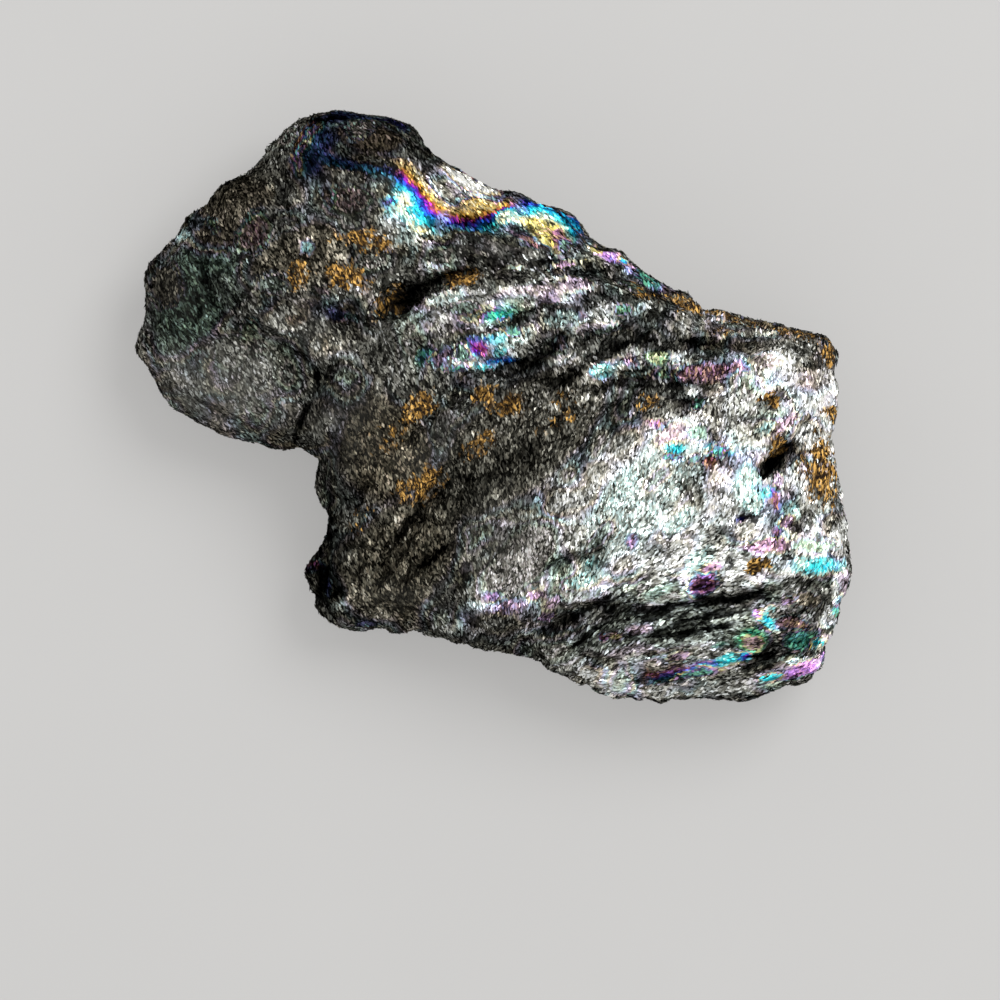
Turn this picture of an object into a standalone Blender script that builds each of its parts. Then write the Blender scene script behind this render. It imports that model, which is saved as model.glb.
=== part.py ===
"""One broken chunk of foliated specular hematite, lying on its flattest side.

Plan positions are on a grid of sixteen steps to the millimetre, seen from above: x runs to the right,
y runs down, and (500, 500) is the middle of the grid. The finished chunk is turned so that its length
lies along X. Heights and widths are in millimetres.
"""

import math

import bmesh
import bpy
import numpy as np
from mathutils import Vector, noise

GRID_PER_MM = 16.0
GRID_MIDDLE = 500.0
TURN = math.radians(27.0)  # from the drawing to the frame with the length along X
CENTRE = (-1.94, 3.39)  # middle of the turned chunk, mm

VOXEL = 0.32
TRIANGLES = 9300
RIM_HALF = 0.7  # the blunt edge that runs round the chunk is twice this high
LAYER = 1.6  # thickness of a layer on the sides
SETBACK = 0.8
LAMINA = 1.0  # relief of the plate edges where the fabric is coarsest
LAMINA_ACROSS = 1.0
LAMINA_LENGTH = 6.0
LAMINA_LEVEL = 0.3  # how far the crests between the sharp furrows stand over the surface
LAMINA_SHARPNESS = 1.6
TOP_SWELL = (0.35, 3.2)  # height and size of the broad unevenness of the top
UNDER_SWELL = (0.4, 3.6)
UNDER_GRAIN = (0.5, 1.3)  # height and width of the drawn-out relief of the underside
UNDER_SHOULDER = 1.4  # how much further in than the top's shoulder the underside's reaches

BLEND = 0.6  # how far a spread surface may pass by its spots
FABRIC_REACH = 18.0  # how quickly one spot's direction gives way to the next, mm squared
CREASE_FALL = 1.4  # over 1: a ridge or groove is sharpest at its line
LUMP_FALL = 1.3
CHIP_EDGE = 1.6  # over 1: a broken face is whole in its middle and fades near its radius
SOFTEST = 0.93  # a side steeper than this share of upright is set back in layers
STEEPNESS_RANGE = 0.4
LAYER_DIP = (0.10, -0.14)
LAYER_WANDER = (1.2, 0.12)  # height and frequency of the waves in the layers
LAYER_EDGES = (0.25, 0.12)  # how soft the lower and the upper edge of a layer are
SIDE_HOLLOWS = (0.6, 0.3)  # depth and frequency of the hollows broken into the sides
RIM_KEPT = 0.8  # the blunt edge isn't set back within this height of it

OUTLINE = [
    (296, 118), (314, 110), (337, 108), (388, 116), (411, 123), (423, 138), (434, 153), (472, 176),
    (490, 185), (520, 191), (557, 205), (574, 216), (592, 241), (608, 248), (621, 248), (633, 262),
    (666, 281), (684, 290), (692, 300), (702, 308), (725, 311), (786, 326), (832, 336), (839, 349),
    (834, 380), (841, 400), (833, 436), (840, 482), (849, 530), (852, 578), (842, 606), (826, 656),
    (812, 684), (775, 692), (755, 700), (737, 700), (717, 697), (663, 703), (638, 702), (614, 699),
    (576, 682), (530, 660), (513, 655), (492, 654), (446, 639), (428, 635), (382, 630), (364, 633),
    (341, 630), (324, 620), (313, 605), (300, 575), (309, 559), (320, 548), (327, 518), (315, 490),
    (314, 470), (322, 462), (308, 451), (295, 447), (280, 450), (253, 442), (222, 436), (179, 413),
    (161, 399), (143, 366), (133, 348), (134, 332), (145, 316), (141, 279), (145, 261), (158, 253),
    (181, 220), (194, 209), (207, 205), (212, 190), (255, 161), (263, 146), (276, 136),
]

# Spot heights of the top: grid x, grid y, height.
TOP = [
    (145, 345, 6.4), (165, 385, 6.6), (200, 415, 6.8), (255, 432, 7.0), (290, 440, 7.3), (230, 375, 8.0),
    (290, 395, 8.1), (180, 325, 7.8), (340, 440, 9.6), (345, 390, 10.4), (340, 340, 10.2),
    (160, 275, 7.4), (200, 230, 8.0), (250, 280, 9.6), (255, 190, 8.6), (300, 250, 10.5),
    (320, 300, 10.2), (300, 140, 9.0), (350, 140, 10.4), (400, 145, 10.2), (340, 190, 10.2),
    (395, 215, 10.9), (450, 185, 9.4), (490, 205, 9.9), (540, 215, 10.3), (590, 252, 10.6),
    (640, 282, 10.8), (690, 312, 10.6), (760, 335, 11.4), (455, 305, 12.2), (520, 295, 12.8),
    (590, 300, 12.9), (400, 370, 11.5), (460, 345, 12.3), (520, 345, 12.9), (600, 330, 13.0),
    (480, 410, 11.6), (550, 420, 12.2), (450, 480, 10.6), (400, 500, 9.9), (345, 490, 8.6),
    (390, 590, 8.4), (335, 590, 6.6), (600, 400, 12.7), (665, 360, 13.3), (740, 362, 13.8),
    (805, 385, 13.2), (545, 485, 12.9), (600, 442, 13.9), (662, 412, 14.4), (722, 394, 14.3),
    (625, 490, 13.8), (690, 455, 14.1), (745, 450, 13.8),
    (700, 520, 13.6), (640, 560, 13.0), (560, 570, 11.7), (500, 570, 10.8), (470, 615, 8.9),
    (600, 640, 9.4), (665, 648, 9.4), (745, 640, 10.1), (700, 690, 7.4), (620, 685, 7.0),
    (790, 672, 7.9), (790, 500, 13.0), (815, 560, 11.9), (820, 620, 10.0), (838, 450, 9.6),
    (842, 520, 9.4),
]

# Height of the edge that runs round the chunk.
RIM = [
    (140, 340, 4.4), (220, 436, 4.2), (300, 448, 5.0), (318, 500, 4.4), (310, 590, 3.6), (430, 636, 3.8),
    (560, 675, 3.6), (680, 700, 4.0), (800, 690, 4.6), (850, 580, 5.2), (838, 450, 5.8), (836, 345, 6.6),
    (720, 310, 6.2), (600, 245, 5.8), (500, 188, 5.4), (400, 120, 5.8), (300, 118, 5.4), (210, 195, 5.0),
    (145, 265, 4.6),
]

# Spot heights of the underside.
UNDER = [
    (160, 340, 2.9), (220, 400, 2.6), (270, 300, 1.6), (200, 240, 2.6), (300, 180, 2.4), (390, 160, 2.8),
    (330, 300, 0.6), (420, 230, 1.4), (500, 230, 1.8), (390, 420, -0.6), (430, 330, -0.5),
    (540, 300, -0.3), (650, 330, 0.3), (500, 450, -0.7), (620, 440, -0.7), (740, 400, -0.3),
    (800, 380, 1.2), (700, 520, -0.6), (560, 560, -0.6), (420, 560, 0.1), (340, 580, 1.5),
    (640, 640, 0.1), (740, 640, 0.5), (820, 560, 1.6), (810, 660, 2.0),
]

# How far in from the outline the shoulder reaches: grid x, grid y, width.
SHOULDER = [
    (150, 350, 1.6), (240, 430, 1.4), (320, 540, 2.3), (330, 610, 2.2), (440, 625, 2.0), (560, 665, 2.0),
    (680, 695, 1.6), (800, 670, 1.8), (845, 560, 1.5), (835, 450, 2.2), (820, 345, 2.0), (700, 315, 1.6),
    (600, 255, 1.3), (500, 195, 1.6), (420, 150, 1.4), (330, 115, 1.6), (220, 200, 2.6), (150, 270, 2.2),
]

# Creases of the top: name, grid points, height, reach on the left of the direction of travel, reach on
# the right. A negative height is a groove. A short reach makes that side steep.
CREASES = [
    ("edge_ridge", [(428, 208), (470, 224), (520, 234), (560, 242), (600, 260), (650, 290), (705, 315)],
     1.1, 1.2, 1.9),
    ("crest", [(392, 326), (416, 306), (436, 294), (462, 286), (502, 278), (545, 277), (590, 282),
               (640, 297), (690, 320)], 1.7, 0.9, 2.3),
    ("crest_valley", [(440, 283), (474, 270), (520, 268), (560, 266), (600, 269), (640, 284), (682, 306)],
     -1.3, 0.9, 0.6),
    ("vein_a", [(496, 331), (515, 322), (535, 314), (565, 307), (603, 297)], -0.9, 0.5, 0.6),
    ("fold_a", [(545, 345), (566, 331), (604, 325), (646, 313)], 0.9, 0.6, 0.9),
    ("vein_b", [(462, 393), (490, 377), (520, 367), (545, 352), (566, 337), (590, 340)], -1.3, 0.6, 0.8),
    ("leaf_a", [(500, 402), (516, 391), (531, 381), (550, 370)], 0.6, 0.35, 0.6),
    ("vein_c", [(516, 410), (540, 394), (560, 380), (590, 361), (625, 346), (650, 337), (668, 321)],
     -1.5, 0.6, 0.8),
    ("leaf_b", [(536, 412), (555, 398), (571, 385), (596, 374)], 0.6, 0.35, 0.8),
    ("fold_b", [(585, 368), (640, 357), (685, 360), (728, 353)], 0.9, 0.7, 0.9),
    ("vein_d", [(575, 402), (602, 388), (640, 384), (680, 388), (706, 388), (722, 380)], -1.3, 0.9, 0.9),
    ("vein_e", [(672, 344), (700, 341), (726, 343), (752, 335)], -0.8, 0.5, 0.5),
    ("vein_f", [(742, 404), (762, 401), (792, 396)], -0.9, 0.4, 0.6),
    ("face_foot", [(505, 640), (525, 628), (557, 612), (600, 601), (650, 597), (695, 598), (725, 588),
                   (760, 583), (800, 574), (842, 573)], 1.1, 2.6, 0.4),
    ("foot_valley", [(505, 652), (522, 640), (557, 621), (600, 610), (650, 611), (700, 608), (735, 600),
                     (775, 594)], -1.0, 0.5, 1.4),
    ("terrace", [(560, 668), (600, 660), (650, 672), (690, 668), (735, 655), (785, 640)], 0.7, 1.4, 0.5),
    ("terrace_valley", [(640, 684), (690, 676), (730, 669), (760, 660), (788, 646)], -1.0, 0.5, 0.8),
    ("lip", [(640, 698), (690, 692), (740, 694), (800, 681)], 0.7, 0.5, 0.5),
    ("lobe_scarp", [(258, 322), (284, 340), (312, 352), (327, 374), (325, 396), (316, 416), (313, 440),
                    (322, 466)], 1.3, 3.2, 0.5),
    ("lobe_head", [(150, 322), (190, 337), (225, 331), (256, 326)], 0.5, 1.4, 0.35),
    ("lobe_groove", [(187, 320), (190, 337), (200, 353)], -0.4, 0.4, 0.4),
    ("head_groove", [(200, 258), (207, 290), (217, 314)], -0.7, 0.5, 0.8),
    ("head_step", [(215, 196), (232, 226), (262, 262), (268, 300)], 0.6, 1.6, 0.4),
    ("head_fold", [(272, 150), (283, 186), (276, 216)], -0.7, 0.6, 0.8),
    ("head_edge", [(322, 232), (300, 262), (296, 300), (318, 326)], 0.45, 1.4, 0.4),
    ("knob_foot", [(292, 160), (330, 167), (370, 171), (402, 181)], -0.6, 0.6, 0.7),
    ("pit_lip", [(352, 288), (362, 312), (378, 330), (398, 327)], 0.6, 0.4, 0.5),
    ("short_crack", [(341, 361), (331, 374), (319, 386)], -0.6, 0.35, 0.4),
    ("corner_facet", [(338, 506), (346, 540), (338, 578), (346, 612)], 0.6, 1.0, 0.8),
    ("rust_groove", [(368, 578), (380, 556), (397, 533), (416, 517), (428, 498), (437, 480)],
     -1.4, 0.6, 0.8),
    ("low_groove", [(396, 592), (414, 569), (432, 556), (456, 543)], -1.0, 0.5, 0.6),
    ("mid_groove", [(404, 448), (428, 424), (452, 404), (476, 388)], -0.6, 0.6, 0.8),
    ("face_crack", [(518, 594), (540, 578), (560, 562), (590, 549), (612, 546)], -0.6, 0.4, 0.5),
    ("face_seam", [(738, 534), (731, 552), (728, 570), (718, 588)], -0.8, 0.4, 0.5),
    ("end_step", [(776, 430), (768, 470), (776, 500), (790, 512)], 0.8, 0.6, 1.4),
    ("end_face", [(815, 372), (808, 420), (800, 460), (806, 500), (826, 530)], 0.7, 0.4, 2.0),
    ("end_groove", [(784, 522), (802, 529), (826, 534)], -0.8, 0.4, 0.6),
    ("end_shelf", [(776, 540), (800, 546), (830, 545)], 0.5, 0.3, 1.0),
]

# Round hollows and swellings: grid x, grid y, radius along, radius across, direction, height.
LUMPS = [
    (362, 136, 4.2, 1.9, 4, 0.7), (405, 222, 1.7, 1.5, 0, 0.3), (306, 245, 1.3, 0.9, 20, 0.35),
    (338, 314, 1.0, 0.8, -30, -0.45), (462, 482, 1.5, 0.9, 50, -0.45), (515, 515, 1.0, 0.8, 0, -0.35),
    (481, 545, 0.8, 1.0, 0, -0.3), (698, 584, 1.0, 0.7, 30, -0.4), (753, 644, 1.3, 1.0, 10, 0.5),
    (780, 618, 1.1, 0.8, 40, -0.5), (618, 568, 2.0, 1.2, 15, 0.35), (740, 490, 2.0, 1.4, 60, 0.4),
    (555, 438, 2.2, 1.0, 40, -0.4), (232, 395, 3.6, 2.2, 10, 0.5), (815, 600, 1.4, 0.8, 0, -0.5),
    (712, 460, 0.5, 0.45, 0, -0.3), (640, 640, 1.8, 0.8, 15, 0.4), (480, 455, 2.2, 1.0, 55, -0.3),
    (655, 505, 3.4, 1.6, 48, 0.35), (805, 400, 1.6, 1.2, 60, 0.35),
]

# Flat broken faces: grid x, grid y, height of the face there, slope in degrees, direction it faces in
# degrees anticlockwise from grid x, radius that it covers.
CHIPS = [
    (806, 455, 12.7, 30, -5, 4.6), (812, 378, 12.9, 26, 40, 3.4), (822, 590, 10.4, 38, -35, 3.4),
    (333, 545, 8.1, 48, 190, 4.0), (222, 205, 8.7, 34, 135, 4.2), (165, 285, 7.5, 30, 178, 3.2),
    (470, 190, 9.7, 30, 58, 3.4), (400, 605, 7.8, 40, 262, 4.0), (560, 640, 9.2, 24, 250, 3.2),
    (790, 535, 12.3, 22, 20, 2.4), (640, 500, 13.9, 9, -30, 4.4), (270, 245, 9.7, 22, 150, 3.0),
    (395, 470, 10.2, 26, 200, 3.4), (740, 672, 8.6, 26, 275, 3.0), (780, 470, 13.1, 30, 5, 1.6),
    (745, 560, 12.9, 26, 300, 2.0), (350, 180, 10.4, 14, 230, 2.6), (500, 500, 11.9, 16, 215, 3.2),
]

# How coarse the plate edges stand out: grid x, grid y, share of LAMINA.
COARSENESS = [
    (190, 380, 0.12), (260, 400, 0.15), (160, 330, 0.3), (200, 270, 0.6), (260, 220, 0.6), (310, 190, 0.45),
    (365, 135, 0.1), (420, 200, 0.3), (320, 290, 0.5), (480, 250, 0.5), (600, 290, 0.6), (540, 350, 0.6),
    (420, 360, 0.3), (400, 440, 0.45), (360, 560, 0.6), (430, 540, 0.6), (520, 440, 0.45), (600, 500, 0.3),
    (680, 480, 0.3), (700, 380, 0.5), (780, 370, 0.35), (800, 470, 0.6), (810, 610, 0.8), (740, 570, 0.4),
    (700, 630, 0.8), (600, 650, 0.8), (560, 580, 0.4), (700, 340, 0.6), (470, 600, 0.5),
]

# Direction in which the plates are drawn out, degrees anticlockwise from grid x: grid x, grid y, angle.
FABRIC = [
    (190, 380, -20), (200, 260, 65), (300, 200, 30), (370, 140, -12), (500, 215, -18), (540, 270, -4),
    (360, 380, 50), (350, 580, 62), (410, 530, 54), (500, 380, 38), (600, 330, 18), (700, 370, 4),
    (620, 490, 48), (520, 560, 46), (740, 440, 38), (800, 380, 14), (820, 500, 62), (580, 640, 34),
    (700, 620, 14), (760, 690, 8),
]

# Open cracks, cut as blades that follow the top: points as grid x, grid y, half-width; then the depth and
# the sideways lean of the foot, both in half-widths, so that a crack runs out where it narrows.
CRACKS = {
    "lobe_crack": (
        [(281, 347, 0.07), (296, 351, 0.12), (307, 358, 0.16), (315, 369, 0.17), (318, 383, 0.18),
         (313, 396, 0.19), (306, 408, 0.26), (301, 419, 0.27), (296, 430, 0.2), (289, 438, 0.1)],
        9.0, 0.0,
    ),
    "pit": (
        [(375, 315, 0.5), (385, 306, 1.1), (399, 298, 1.25), (416, 288, 1.0), (434, 281, 0.55),
         (455, 275, 0.32), (476, 271, 0.2)],
        2.6, 1.2,
    ),
    "end_crack": (
        [(757, 482, 0.12), (763, 468, 0.36), (772, 454, 0.46), (785, 444, 0.34), (800, 434, 0.18),
         (812, 427, 0.1)],
        6.0, 0.8,
    ),
    "low_crack": ([(732, 522, 0.12), (744, 519, 0.26), (757, 515, 0.24), (767, 512, 0.12)], 5.0, 0.0),
    "terrace_crack": ([(732, 664, 0.12), (752, 661, 0.4), (768, 655, 0.34), (782, 646, 0.12)], 4.5, 0.6),
}


def plan(x, y):
    """Grid coordinates in millimetres from the middle of the grid, y up."""
    right = (np.asarray(x, float) - GRID_MIDDLE) / GRID_PER_MM
    up = (GRID_MIDDLE - np.asarray(y, float)) / GRID_PER_MM
    return right, up


def plan_points(points):
    x, y = plan([p[0] for p in points], [p[1] for p in points])
    return np.stack([x, y], axis=1)


def spread(spots, places):
    """A smooth surface through spot values, read at each place: a thin plate bent over the spots."""
    spot_places = plan_points(spots)
    values = np.array([spot[2] for spot in spots], float)
    count = len(values)

    def kernel(a, b):
        apart = ((a[:, None, :] - b[None, :, :]) ** 2).sum(axis=2)
        return 0.5 * apart * np.log(apart + 1e-9)

    system = np.zeros((count + 3, count + 3))
    system[:count, :count] = kernel(spot_places, spot_places) + BLEND * np.eye(count)
    system[:count, count] = 1.0
    system[:count, count + 1:] = spot_places
    system[count:, :count] = system[:count, count:].T
    weights = np.linalg.solve(system, np.concatenate([values, np.zeros(3)]))
    return kernel(places, spot_places) @ weights[:count] + weights[count] + places @ weights[count + 1:]


def along(points, places, closed=False):
    """Distance from each place to a line through points, positive on the left of its direction."""
    line = points if not closed else np.concatenate([points, points[:1]])
    nearest = np.full(len(places), 1e9)
    side = np.ones(len(places))
    for start, end in zip(line[:-1], line[1:]):
        run = end - start
        offset = places - start
        part = np.clip(offset @ run / (run @ run), 0.0, 1.0)
        gap = offset - part[:, None] * run
        distance = np.hypot(gap[:, 0], gap[:, 1])
        closer = distance < nearest
        nearest = np.where(closer, distance, nearest)
        turn = run[0] * offset[:, 1] - run[1] * offset[:, 0]
        side = np.where(closer, np.sign(turn), side)
    return nearest * side


def inward(places):
    """Distance from each place to the outline; the outline runs clockwise, so inside is on its right."""
    return np.abs(along(plan_points(OUTLINE), places, closed=True))


def crease(points, height, left, right, places):
    """A ridge or groove whose height falls away from its line within the reach of each side."""
    distance = along(plan_points(points), places)
    reach = np.where(distance > 0, left, right)
    return height * np.clip(1.0 - np.abs(distance) / reach, 0.0, 1.0) ** CREASE_FALL


def lump(spot, places):
    x, y, long_radius, cross_radius, angle, height = spot
    middle = plan_points([(x, y)])[0]
    turn = math.radians(angle)
    offset = places - middle
    u = (offset[:, 0] * math.cos(turn) + offset[:, 1] * math.sin(turn)) / long_radius
    v = (offset[:, 1] * math.cos(turn) - offset[:, 0] * math.sin(turn)) / cross_radius
    return height * np.clip(1.0 - u * u - v * v, 0.0, 1.0) ** LUMP_FALL


def chip(height, spot, places):
    """Takes the top down to a tilted flat face round one place, fading out at its radius."""
    x, y, level, slope, facing, radius = spot
    offset = places - plan_points([(x, y)])[0]
    turn = math.radians(facing)
    ahead = offset[:, 0] * math.cos(turn) + offset[:, 1] * math.sin(turn)
    face = level - math.tan(math.radians(slope)) * ahead
    cover = np.clip(CHIP_EDGE * (1.0 - np.hypot(offset[:, 0], offset[:, 1]) / radius), 0.0, 1.0)
    return np.where(face < height, height + (face - height) * cover, height)


def laminae(places, across, length, seed):
    """Noise drawn out along the fabric, blended from the directions nearest to each place."""
    anchors = plan_points(FABRIC)
    total = np.zeros(len(places))
    weight_sum = np.zeros(len(places))
    for index, anchor in enumerate(anchors):
        turn = math.radians(FABRIC[index][2])
        offset = places - anchor
        weight = np.exp(-(offset ** 2).sum(axis=1) / FABRIC_REACH) + 1e-6
        close = weight > 0.002
        u = (places[:, 0] * math.cos(turn) + places[:, 1] * math.sin(turn)) / length
        v = (places[:, 1] * math.cos(turn) - places[:, 0] * math.sin(turn)) / across
        values = np.zeros(len(places))
        for row in np.nonzero(close)[0]:
            values[row] = noise.noise(Vector((u[row], v[row], seed)))
        total += weight * values
        weight_sum += weight
    return total / weight_sum


def broad_noise(places, size, seed):
    return np.array([noise.noise(Vector((x / size, y / size, seed))) for x, y in places])


def top_surface(places):
    height = spread(TOP, places)
    for _, points, rise, left, right in CREASES:
        height += crease(points, rise, left, right, places)
    for spot in LUMPS:
        height += lump(spot, places)
    for spot in CHIPS:
        height = chip(height, spot, places)
    furrows = np.abs(laminae(places, LAMINA_ACROSS, LAMINA_LENGTH, 3.1))
    edges = LAMINA_LEVEL - furrows * LAMINA_SHARPNESS
    coarseness = np.clip(spread(COARSENESS, places), 0.1, 1.0)
    swell = TOP_SWELL[0] * broad_noise(places, TOP_SWELL[1], 7.7)
    return height + LAMINA * coarseness * edges + swell


def sculpt(points):
    """Turns the flat slab into the chunk: its top, its blunt edge and its underside."""
    places = points[:, :2]
    depth = inward(places)
    rim = spread(RIM, places)
    shoulder = np.clip(spread(SHOULDER, places), 1.0, 3.2)
    rise = 1.0 - np.clip(1.0 - depth / shoulder, 0.0, 1.0) ** 2.0
    upper = rim + RIM_HALF + (top_surface(places) - rim - RIM_HALF) * np.sqrt(np.clip(rise, 0.0, 1.0))
    under = spread(UNDER, places)
    under += UNDER_GRAIN[0] * laminae(places, UNDER_GRAIN[1], LAMINA_LENGTH, 11.4)
    under += UNDER_SWELL[0] * broad_noise(places, UNDER_SWELL[1], 2.2)
    fall = 1.0 - np.clip(1.0 - depth / (shoulder + UNDER_SHOULDER), 0.0, 1.0) ** 2.0
    lower = rim - RIM_HALF - (rim - RIM_HALF - under) * np.sqrt(np.clip(fall, 0.0, 1.0))
    share = np.clip((points[:, 2] + 1.0) / 2.0, 0.0, 1.0)
    return np.column_stack([places, lower + (upper - lower) * share])


def ledges(points, normals):
    """Sets the softer layers of the steep sides back; the layers dip gently across the chunk."""
    result = points.copy()
    from_rim = points[:, 2] - spread(RIM, points[:, :2])
    for row, (point, normal) in enumerate(zip(points, normals)):
        steep = min(1.0, max(0.0, (SOFTEST - abs(normal[2])) / STEEPNESS_RANGE))
        if steep <= 0.0:
            continue
        waves = LAYER_WANDER[1]
        wander = LAYER_WANDER[0] * noise.noise(Vector((point[0] * waves, point[1] * waves, 5.0)))
        level = (point[2] + LAYER_DIP[0] * point[0] + LAYER_DIP[1] * point[1] + wander) / LAYER
        layer = math.floor(level)
        within = level - layer
        edge = min(1.0, within / LAYER_EDGES[0], (1.0 - within) / LAYER_EDGES[1])
        softness = noise.noise(Vector((point[0] * 0.13, point[1] * 0.13, layer * 7.31)))
        rough = SIDE_HOLLOWS[1]
        hollow = noise.noise(Vector((point[0] * rough, point[1] * rough, point[2] * rough + 9.0)))
        back = edge * SETBACK * max(0.0, min(1.0, 0.45 + 1.9 * softness))
        back += SIDE_HOLLOWS[0] * max(0.0, hollow)
        back *= steep * (1.0 - math.exp(-(from_rim[row] / RIM_KEPT) ** 2))
        result[row, 0] -= normal[0] * back
        result[row, 1] -= normal[1] * back
    return result


def read_points(mesh):
    points = np.empty(len(mesh.vertices) * 3)
    mesh.vertices.foreach_get("co", points)
    return points.reshape(-1, 3)


def write_points(mesh, points):
    mesh.vertices.foreach_set("co", np.ascontiguousarray(points, float).ravel())
    mesh.update()


def modified(name, data, modifiers=()):
    """The data of a mesh or curve after the given modifiers, as a mesh of its own."""
    obj = bpy.data.objects.new(name, data)
    bpy.context.scene.collection.objects.link(obj)
    for kind, settings in modifiers:
        modifier = obj.modifiers.new(kind.title(), kind)
        for key, value in settings.items():
            setattr(modifier, key, value)
    graph = bpy.context.evaluated_depsgraph_get()
    graph.update()
    mesh = bpy.data.meshes.new_from_object(obj.evaluated_get(graph), depsgraph=graph)
    mesh.name = name
    bpy.data.objects.remove(obj)
    return mesh


WELD = ("WELD", {"merge_threshold": 0.0001})


def remesh_settings(voxel):
    return ("REMESH", {"mode": "VOXEL", "voxel_size": voxel, "adaptivity": 0.0, "use_smooth_shade": False})


def slab_mesh():
    curve = bpy.data.curves.new("outline", "CURVE")
    curve.dimensions = "2D"
    curve.fill_mode = "BOTH"
    curve.extrude = 1.0
    spline = curve.splines.new("POLY")
    corners = plan_points(OUTLINE)
    spline.points.add(len(corners) - 1)
    for point, (x, y) in zip(spline.points, corners):
        point.co = (x, y, 0.0, 1.0)
    spline.use_cyclic_u = True
    return modified("slab", modified("slab", curve), [WELD, remesh_settings(VOXEL)])


def body_mesh():
    mesh = slab_mesh()
    write_points(mesh, sculpt(read_points(mesh)))
    mesh = modified("body", mesh, [remesh_settings(VOXEL)])
    normals = np.array([vertex.normal for vertex in mesh.vertices])
    write_points(mesh, ledges(read_points(mesh), normals))
    mesh.calc_loop_triangles()
    ratio = TRIANGLES / len(mesh.loop_triangles)
    return modified("body", mesh, [("DECIMATE", {"ratio": ratio, "use_collapse_triangulate": True})])


def crack_mesh(name, points, depth, lean):
    """A blade that follows the top: wide at the surface, thin at its foot, leaning sideways by lean."""
    places = plan_points(points)
    heights = top_surface(places)
    profile = bpy.data.curves.new(name + "_profile", "CURVE")
    profile.dimensions = "2D"
    section = profile.splines.new("POLY")
    foot = [(lean - 0.25, -depth), (lean + 0.25, -depth)]
    corners = [(-1.0, 3.0), (-1.0, 0.0), *foot, (1.0, 0.0), (1.0, 3.0)]
    section.points.add(len(corners) - 1)
    for point, (x, y) in zip(section.points, corners):
        point.co = (x, y, 0.0, 1.0)
    section.use_cyclic_u = True
    guide = bpy.data.objects.new(name + "_profile", profile)
    bpy.context.scene.collection.objects.link(guide)
    curve = bpy.data.curves.new(name, "CURVE")
    curve.dimensions = "3D"
    curve.twist_mode = "Z_UP"
    curve.bevel_mode = "OBJECT"
    curve.bevel_object = guide
    curve.use_fill_caps = True
    spline = curve.splines.new("POLY")
    spline.points.add(len(points) - 1)
    for point, (x, y), z, spot in zip(spline.points, places, heights, points):
        point.co = (x, y, z, 1.0)
        point.radius = spot[2]
    mesh = modified(name, modified(name, curve), [WELD])
    bpy.data.objects.remove(guide)
    return mesh


def place(mesh):
    """From plan millimetres to metres in the frame of the chunk."""
    points = read_points(mesh)
    x = points[:, 0] * math.cos(TURN) - points[:, 1] * math.sin(TURN) - CENTRE[0]
    y = points[:, 0] * math.sin(TURN) + points[:, 1] * math.cos(TURN) - CENTRE[1]
    write_points(mesh, np.column_stack([x, y, points[:, 2]]) * 0.001)


def outward(mesh):
    shape = bmesh.new()
    shape.from_mesh(mesh)
    bmesh.ops.triangulate(shape, faces=shape.faces[:])
    bmesh.ops.recalc_face_normals(shape, faces=shape.faces[:])
    shape.to_mesh(mesh)
    shape.free()


def add_object(name, mesh, collection):
    outward(mesh)
    place(mesh)
    obj = bpy.data.objects.new(name, mesh)
    collection.objects.link(obj)
    return obj


def hematite_material():
    material = bpy.data.materials.new("specular_hematite")
    material.use_nodes = True
    shader = material.node_tree.nodes["Principled BSDF"]
    shader.inputs["Base Color"].default_value = (0.14, 0.14, 0.15, 1.0)
    shader.inputs["Metallic"].default_value = 0.9
    shader.inputs["Roughness"].default_value = 0.38
    return material


def cut(target, name, cutter):
    modifier = target.modifiers.new(name, "BOOLEAN")
    modifier.operation = "DIFFERENCE"
    modifier.solver = "EXACT"
    modifier.object = cutter


def main():
    for obj in list(bpy.data.objects):
        bpy.data.objects.remove(obj)
    scene = bpy.context.scene
    parts = bpy.data.collections.new("hematite_chunk")
    cutters = bpy.data.collections.new("cutters")
    scene.collection.children.link(parts)
    scene.collection.children.link(cutters)
    cutters.hide_render = True

    body = add_object("hematite", body_mesh(), parts)
    body.data.materials.append(hematite_material())

    for name, (points, depth, lean) in CRACKS.items():
        cutter = add_object(name, crack_mesh(name, points, depth, lean), cutters)
        cutter.hide_render = True
        cutter.display_type = "WIRE"
        cut(body, name, cutter)

    bpy.ops.mesh.primitive_cube_add(size=1.0)
    ground = bpy.context.object
    ground.name = "ground"
    ground.scale = (0.08, 0.06, 0.01)
    ground.location = (0.0, 0.0, -0.005)
    for collection in list(ground.users_collection):
        collection.objects.unlink(ground)
    cutters.objects.link(ground)
    ground.hide_render = True
    ground.display_type = "WIRE"
    cut(body, "ground", ground)


main()
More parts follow.
